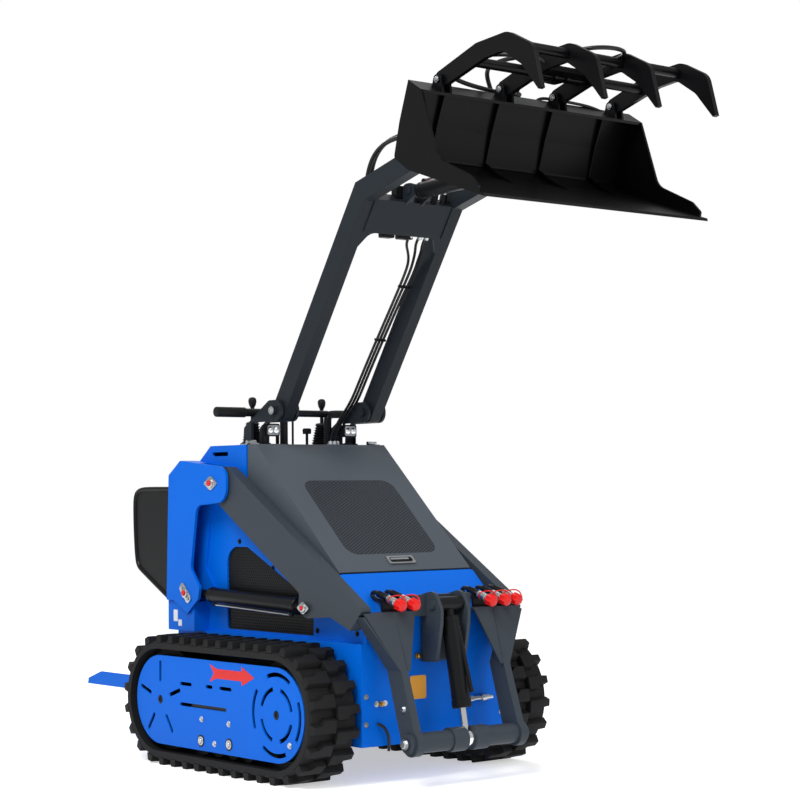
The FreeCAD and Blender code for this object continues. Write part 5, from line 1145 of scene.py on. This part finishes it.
# %% Panel with gauges
rear_way = Vector((0.803, 0, 0.596))
rear_out = Vector((-0.596, 0, 0.803))
panel_middle = at(-402, 0, 1020.5)
GAUGES, SWITCHES = (-110, -40), (35, 75, 115)
mesh = bmesh.new()
prism(mesh, plate_outline(320, 96, 12), panel_middle + rear_out * 0.003, Y * -1, rear_way, -6)
gauge_starts = [panel_middle + Y * y / 1000 + rear_way * 0.008 for y in GAUGES]
for start in gauge_starts:
    lathe(mesh, start, rear_out, [(0, 30), (10, 30), (12, 27), (8, 25)], 32)
for y in SWITCHES:
    spot = panel_middle + Y * y / 1000
    lathe(mesh, spot + rear_way * 0.014, rear_out, [(0, 14), (7, 14), (8, 12)], 24)
    prism(mesh, plate_outline(24, 14, 3), spot - rear_way * 0.022 + rear_out * 0.003, Y * -1,
          rear_way, -9)
piece("rear_panel", mesh, BLACK_NYLON_AND_SHADE, "machine", 0.6)
turned_piece("gauge_faces", gauge_starts, rear_out, [(6, 25), (9, 25)], 32, LENS, "machine")
tell("rear panel")

# %% [markdown]
# The back of the machine has a louvred vent that lets hot air out and turns
# rain away. Its slats are copies of one bent strip in a frame. The platform's
# floor is tread plate: raised studs that lie in two directions, so that a wet
# boot finds grip whichever way it slides.

# %% Louvres and studs
SLATS, SLAT_PITCH = 10, 22
STUD_ROWS, STUD_STEP_X, STUD_STEP_Y = 15, 36, 38
STUD_STRETCH = 2.1
PLATFORM_TOP = 215
mesh = bmesh.new()
prism(mesh, plate_outline(330, 250, 14), at(TUB_REAR, 0, 740), Y * -1, Z, 3)
piece("vent_frame", mesh, BLACK, "machine", 0.8)
slat = bmesh.new()
prism(slat, rounded([(-2, 9), (1, 9), (9, -7), (6, -8), (-2, -4)], 1.2, 2),
      Vector((0, -0.142, 0)), Z, X, 284)
copies("vent_slats", slat, [(at(TUB_REAR - 3, 0, 640 + SLAT_PITCH * k), -X, Z)
                            for k in range(SLATS)], BLACK, "machine")
stud = bmesh.new()
lathe(stud, ORIGIN, Z, [(-0.5, 7.5), (0.6, 7), (1.5, 5), (1.8, 2)], 12)
for vert in stud.verts:
    vert.co.x *= STUD_STRETCH
spots = []
for i in range(STUD_ROWS):
    for j in range(STUD_ROWS):
        lean = math.radians(45 if (i + j) % 2 else -45)
        place = at(-1105 + STUD_STEP_X * i, -266 + STUD_STEP_Y * j, PLATFORM_TOP)
        spots.append((place, Z, Vector((math.cos(lean), math.sin(lean), 0))))
copies("platform_studs", stud, spots, BLUE, "platform")
tell("vent and studs")

# %% [markdown]
# Plain enamelled plates sit on the body: an orange one on the tub's front
# and two pale ones by the foot of each tower. The hood's latch is a paddle in
# a dish with a bright handle. All are thin prisms with rounded corners.

# %% Plates and latch
def plate(name, place, across, upward, width, height, thick, material, body):
    mesh = bmesh.new()
    prism(mesh, plate_outline(width, height, min(width, height) * 0.12), place, across, upward,
          thick)
    return piece(name, mesh, material, body)


plate("front_plate", at(TUB_FRONT, -70, 293), Y, Z, 65, 74, 0.7, LABEL, "machine")
for word, side in SIDES:
    for letter, x, z, width, height in (("a", -458, 490, 26, 40), ("b", -430, 466, 22, 22)):
        plate("foot_plate_%s_%s" % (word, letter), at(x, side * 338, z), X * -side, Z, width,
              height, 0.6, WHITE_LABEL, "machine")
latch_middle = SLOPE_TOP + slope * 0.5782 + slope_out * 0.007
latch_face = latch_middle + slope_out * 0.0016
mesh = bmesh.new()
prism(mesh, plate_outline(20, 92, 8), latch_middle, slope, Y, 1.6)
lathe(mesh, latch_face + Y * 0.036, slope_out, [(0, 7), (2, 7), (3, 5.5)], 20)
piece("latch_paddle", mesh, BLACK_NYLON_AND_SHADE, "hood", 0.5)
mesh = bmesh.new()
prism(mesh, plate_outline(8, 74, 3), latch_face - Y * 0.008, slope, Y, 3)
piece("latch_handle", mesh, ZINC, "hood", 0.5)
tell("plates and latch")

# %% [markdown]
# The knee's shelf carries three shorter couplers for the bucket's circuits,
# with small red caps. They reuse the front couplers' profiles at two thirds
# of the length.

# %% Knee couplers
KNEE_REACH = 66
knee_way = Vector((0.28, 0, 0.96))
body_mesh, collar_mesh, cap_mesh = bmesh.new(), bmesh.new(), bmesh.new()
for y in (60, 99, 138):
    start = at(441, y, 1862)
    coupler(body_mesh, collar_mesh, start, knee_way, KNEE_REACH)
    dust_cap(cap_mesh, start + knee_way * 0.0655, knee_way, 12, 14)
lathe(cap_mesh, at(436, -140, 1866), knee_way, [(0, 13), (14, 13), (22, 9)], 16, 0.9)
prism(body_mesh, rounded_box(-64, -30, 1868, 1908, 5), at(424, 0, 0), Y, Z, 26)
piece("knee_couplers", body_mesh, BLACK, "upper_boom")
piece("knee_collars", collar_mesh, ZINC, "upper_boom")
piece("knee_caps", cap_mesh, RED_PLASTIC, "upper_boom")
tell("knee couplers")

# %% [markdown]
# Four ribs stiffen the bucket. Each is one strip that is bent along the back
# wall and the floor, so its outline is the wall's line and the same line
# moved inward, which keeps the strip's thickness even round the bend.

# %% Ribs inside the bucket
RIB_WALL = [(1003, 2104), (962, 1997), (935, 1898), (995, 1858), (1078, 1827)]
RIB_INWARD = [(12, -13), (12, -3), (11, 10), (5, 12), (-12, 9)]
RIB_PLACES, RIB_THICK = (-326, -110, 110, 326), 6
rib_inner = [(x + dx, z + dz) for (x, z), (dx, dz) in zip(RIB_WALL, RIB_INWARD)]
mesh = bmesh.new()
for y in RIB_PLACES:
    prism(mesh, RIB_WALL + rib_inner[::-1], at(0, y + RIB_THICK / 2, 0), X, Z, RIB_THICK)
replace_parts(piece("bucket_rib_strips", mesh, BUCKET_BLACK, "bucket", 0.8),
            "bucket_ribs")
tell("bucket ribs")

# %% [markdown]
# Thick plates are joined by weld beads, which look like a row of small domes
# that overlap. A swept tube would be too smooth, so copies of one dome follow
# each seam at nine tenths of its radius.

# %% Weld beads
BEAD_STEP = 0.9
# Body, slot, material, bead radius and the seams' two ends
WELDS = [
    ("lift_frame", "charcoal_paint", CHARCOAL, 2.6,
     [[(597, y, 534), (652, y * 0.96, 360)] for y in (-206, 206)]),
    ("bucket", "black_paint", BUCKET_BLACK, 3.2,
     [[(933, y, 1892), (992, y, 1857)] for y in (-450, 450)]),
    ("bucket", "black_paint", BUCKET_BLACK, 3.0,
     [[(935, y, 1925), (976, y, 2045)] for y in (-159, -143, 143, 159)]),
    ("upper_boom", "charcoal_paint", BOOM_GREY, 2.8,
     [[(466, y, 1849), (404, y, 1756)] for y in (-163, 163)]),
    ("machine", "charcoal_paint", BOOM_GREY, 2.6,
     [[(-206, side * y, 1086), (-155, side * y, 1086)] for y in (213, 159)
      for _, side in SIDES]),
]
for number, (body, slot, material, radius, seams) in enumerate(WELDS):
    bead = bmesh.new()
    bmesh.ops.create_icosphere(bead, subdivisions=2, radius=radius / 1000)
    spots = []
    for start, stop in seams:
        a, b = at(*start), at(*stop)
        steps = max(2, int((b - a).length * 1000 / radius / BEAD_STEP))
        run = (b - a).normalized()
        spots += [(a.lerp(b, k / steps), run.orthogonal(), run) for k in range(steps + 1)]
    copies("weld_%d" % number, bead, spots, material, body)
tell("weld beads")

# %% [markdown]
# The machine stands on plain white. The floor takes its shadow, and adds
# light of its own only where the camera or a reflection sees it, so it reads
# as white without lighting the machine from below.

# %% White floor
FLOOR_SIZE, FLOOR_GLOW = 30, 0.5
WHITE = linear("#FFFFFF")
floor_material = bpy.data.materials.new("white_floor")
floor_material.use_nodes = True
tree = floor_material.node_tree
tree.nodes.clear()
matt = add_node(tree, "ShaderNodeBsdfDiffuse", inputs={"Color": WHITE})
path = add_node(tree, "ShaderNodeLightPath")
seen = add_node(tree, "ShaderNodeMath", {"operation": "MAXIMUM"},
                {0: path.outputs["Is Camera Ray"], 1: path.outputs["Is Glossy Ray"]})
strength = add_node(tree, "ShaderNodeMath", {"operation": "MULTIPLY"},
                    {0: seen.outputs[0], 1: FLOOR_GLOW})
glow = add_node(tree, "ShaderNodeEmission",
                inputs={"Color": WHITE, "Strength": strength.outputs[0]})
both = add_node(tree, "ShaderNodeAddShader", inputs={0: matt.outputs[0], 1: glow.outputs[0]})
add_node(tree, "ShaderNodeOutputMaterial", inputs={"Surface": both.outputs[0]})
floor_mesh = bpy.data.meshes.new("floor")
floor_mesh.from_pydata([(-FLOOR_SIZE, -FLOOR_SIZE, 0), (FLOOR_SIZE, -FLOOR_SIZE, 0),
                        (FLOOR_SIZE, FLOOR_SIZE, 0), (-FLOOR_SIZE, FLOOR_SIZE, 0)], [],
                       [(0, 1, 2, 3)])
floor_mesh.materials.append(floor_material)
floor = bpy.data.objects.new("floor", floor_mesh)
bpy.context.scene.collection.objects.link(floor)

# %% [markdown]
# A white sky lights the machine evenly, as a studio's walls do, and three
# soft lamps add direction. The key lamp hangs high on the machine's right,
# near the camera, so that the hood and the arms' tops are brighter than the
# sides below them.

# %% World and lamps
WORLD_FILL = 0.52
world = bpy.data.worlds.new("studio")
bpy.context.scene.world = world
world.use_nodes = True
tree = world.node_tree
tree.nodes.clear()
path = add_node(tree, "ShaderNodeLightPath")
level = add_node(tree, "ShaderNodeMapRange", inputs={
    "Value": path.outputs["Is Camera Ray"], "To Min": WORLD_FILL, "To Max": 1.0})
sky = add_node(tree, "ShaderNodeBackground",
               inputs={"Color": WHITE, "Strength": level.outputs[0]})
add_node(tree, "ShaderNodeOutputWorld", inputs={"Surface": sky.outputs[0]})

LAMP_TARGET = Vector((0, 0, 0.8))
# Name, place in metres, power in watts and width in metres
LAMPS = [("key_lamp", (1.7, -3.5, 4.8), 205, 2.2), ("front_lamp", (5.0, 1.5, 3.5), 64, 3.0),
         ("rear_lamp", (-4.0, 2.5, 4.5), 60, 3.0)]
for name, place, power, size in LAMPS:
    lamp_data = bpy.data.lights.new(name, "AREA")
    lamp_data.energy = power
    lamp_data.size = size
    lamp = bpy.data.objects.new(name, lamp_data)
    bpy.context.scene.collection.objects.link(lamp)
    lamp.location = place
    lamp.rotation_euler = (LAMP_TARGET - Vector(place)).to_track_quat("-Z", "Y").to_euler()
print("lamps:", len(LAMPS))

# %% [markdown]
# The view settings stay plain, so a colour renders about as it is written.

# %% View settings and the closing lines
bpy.context.scene.view_settings.view_transform = "Standard"
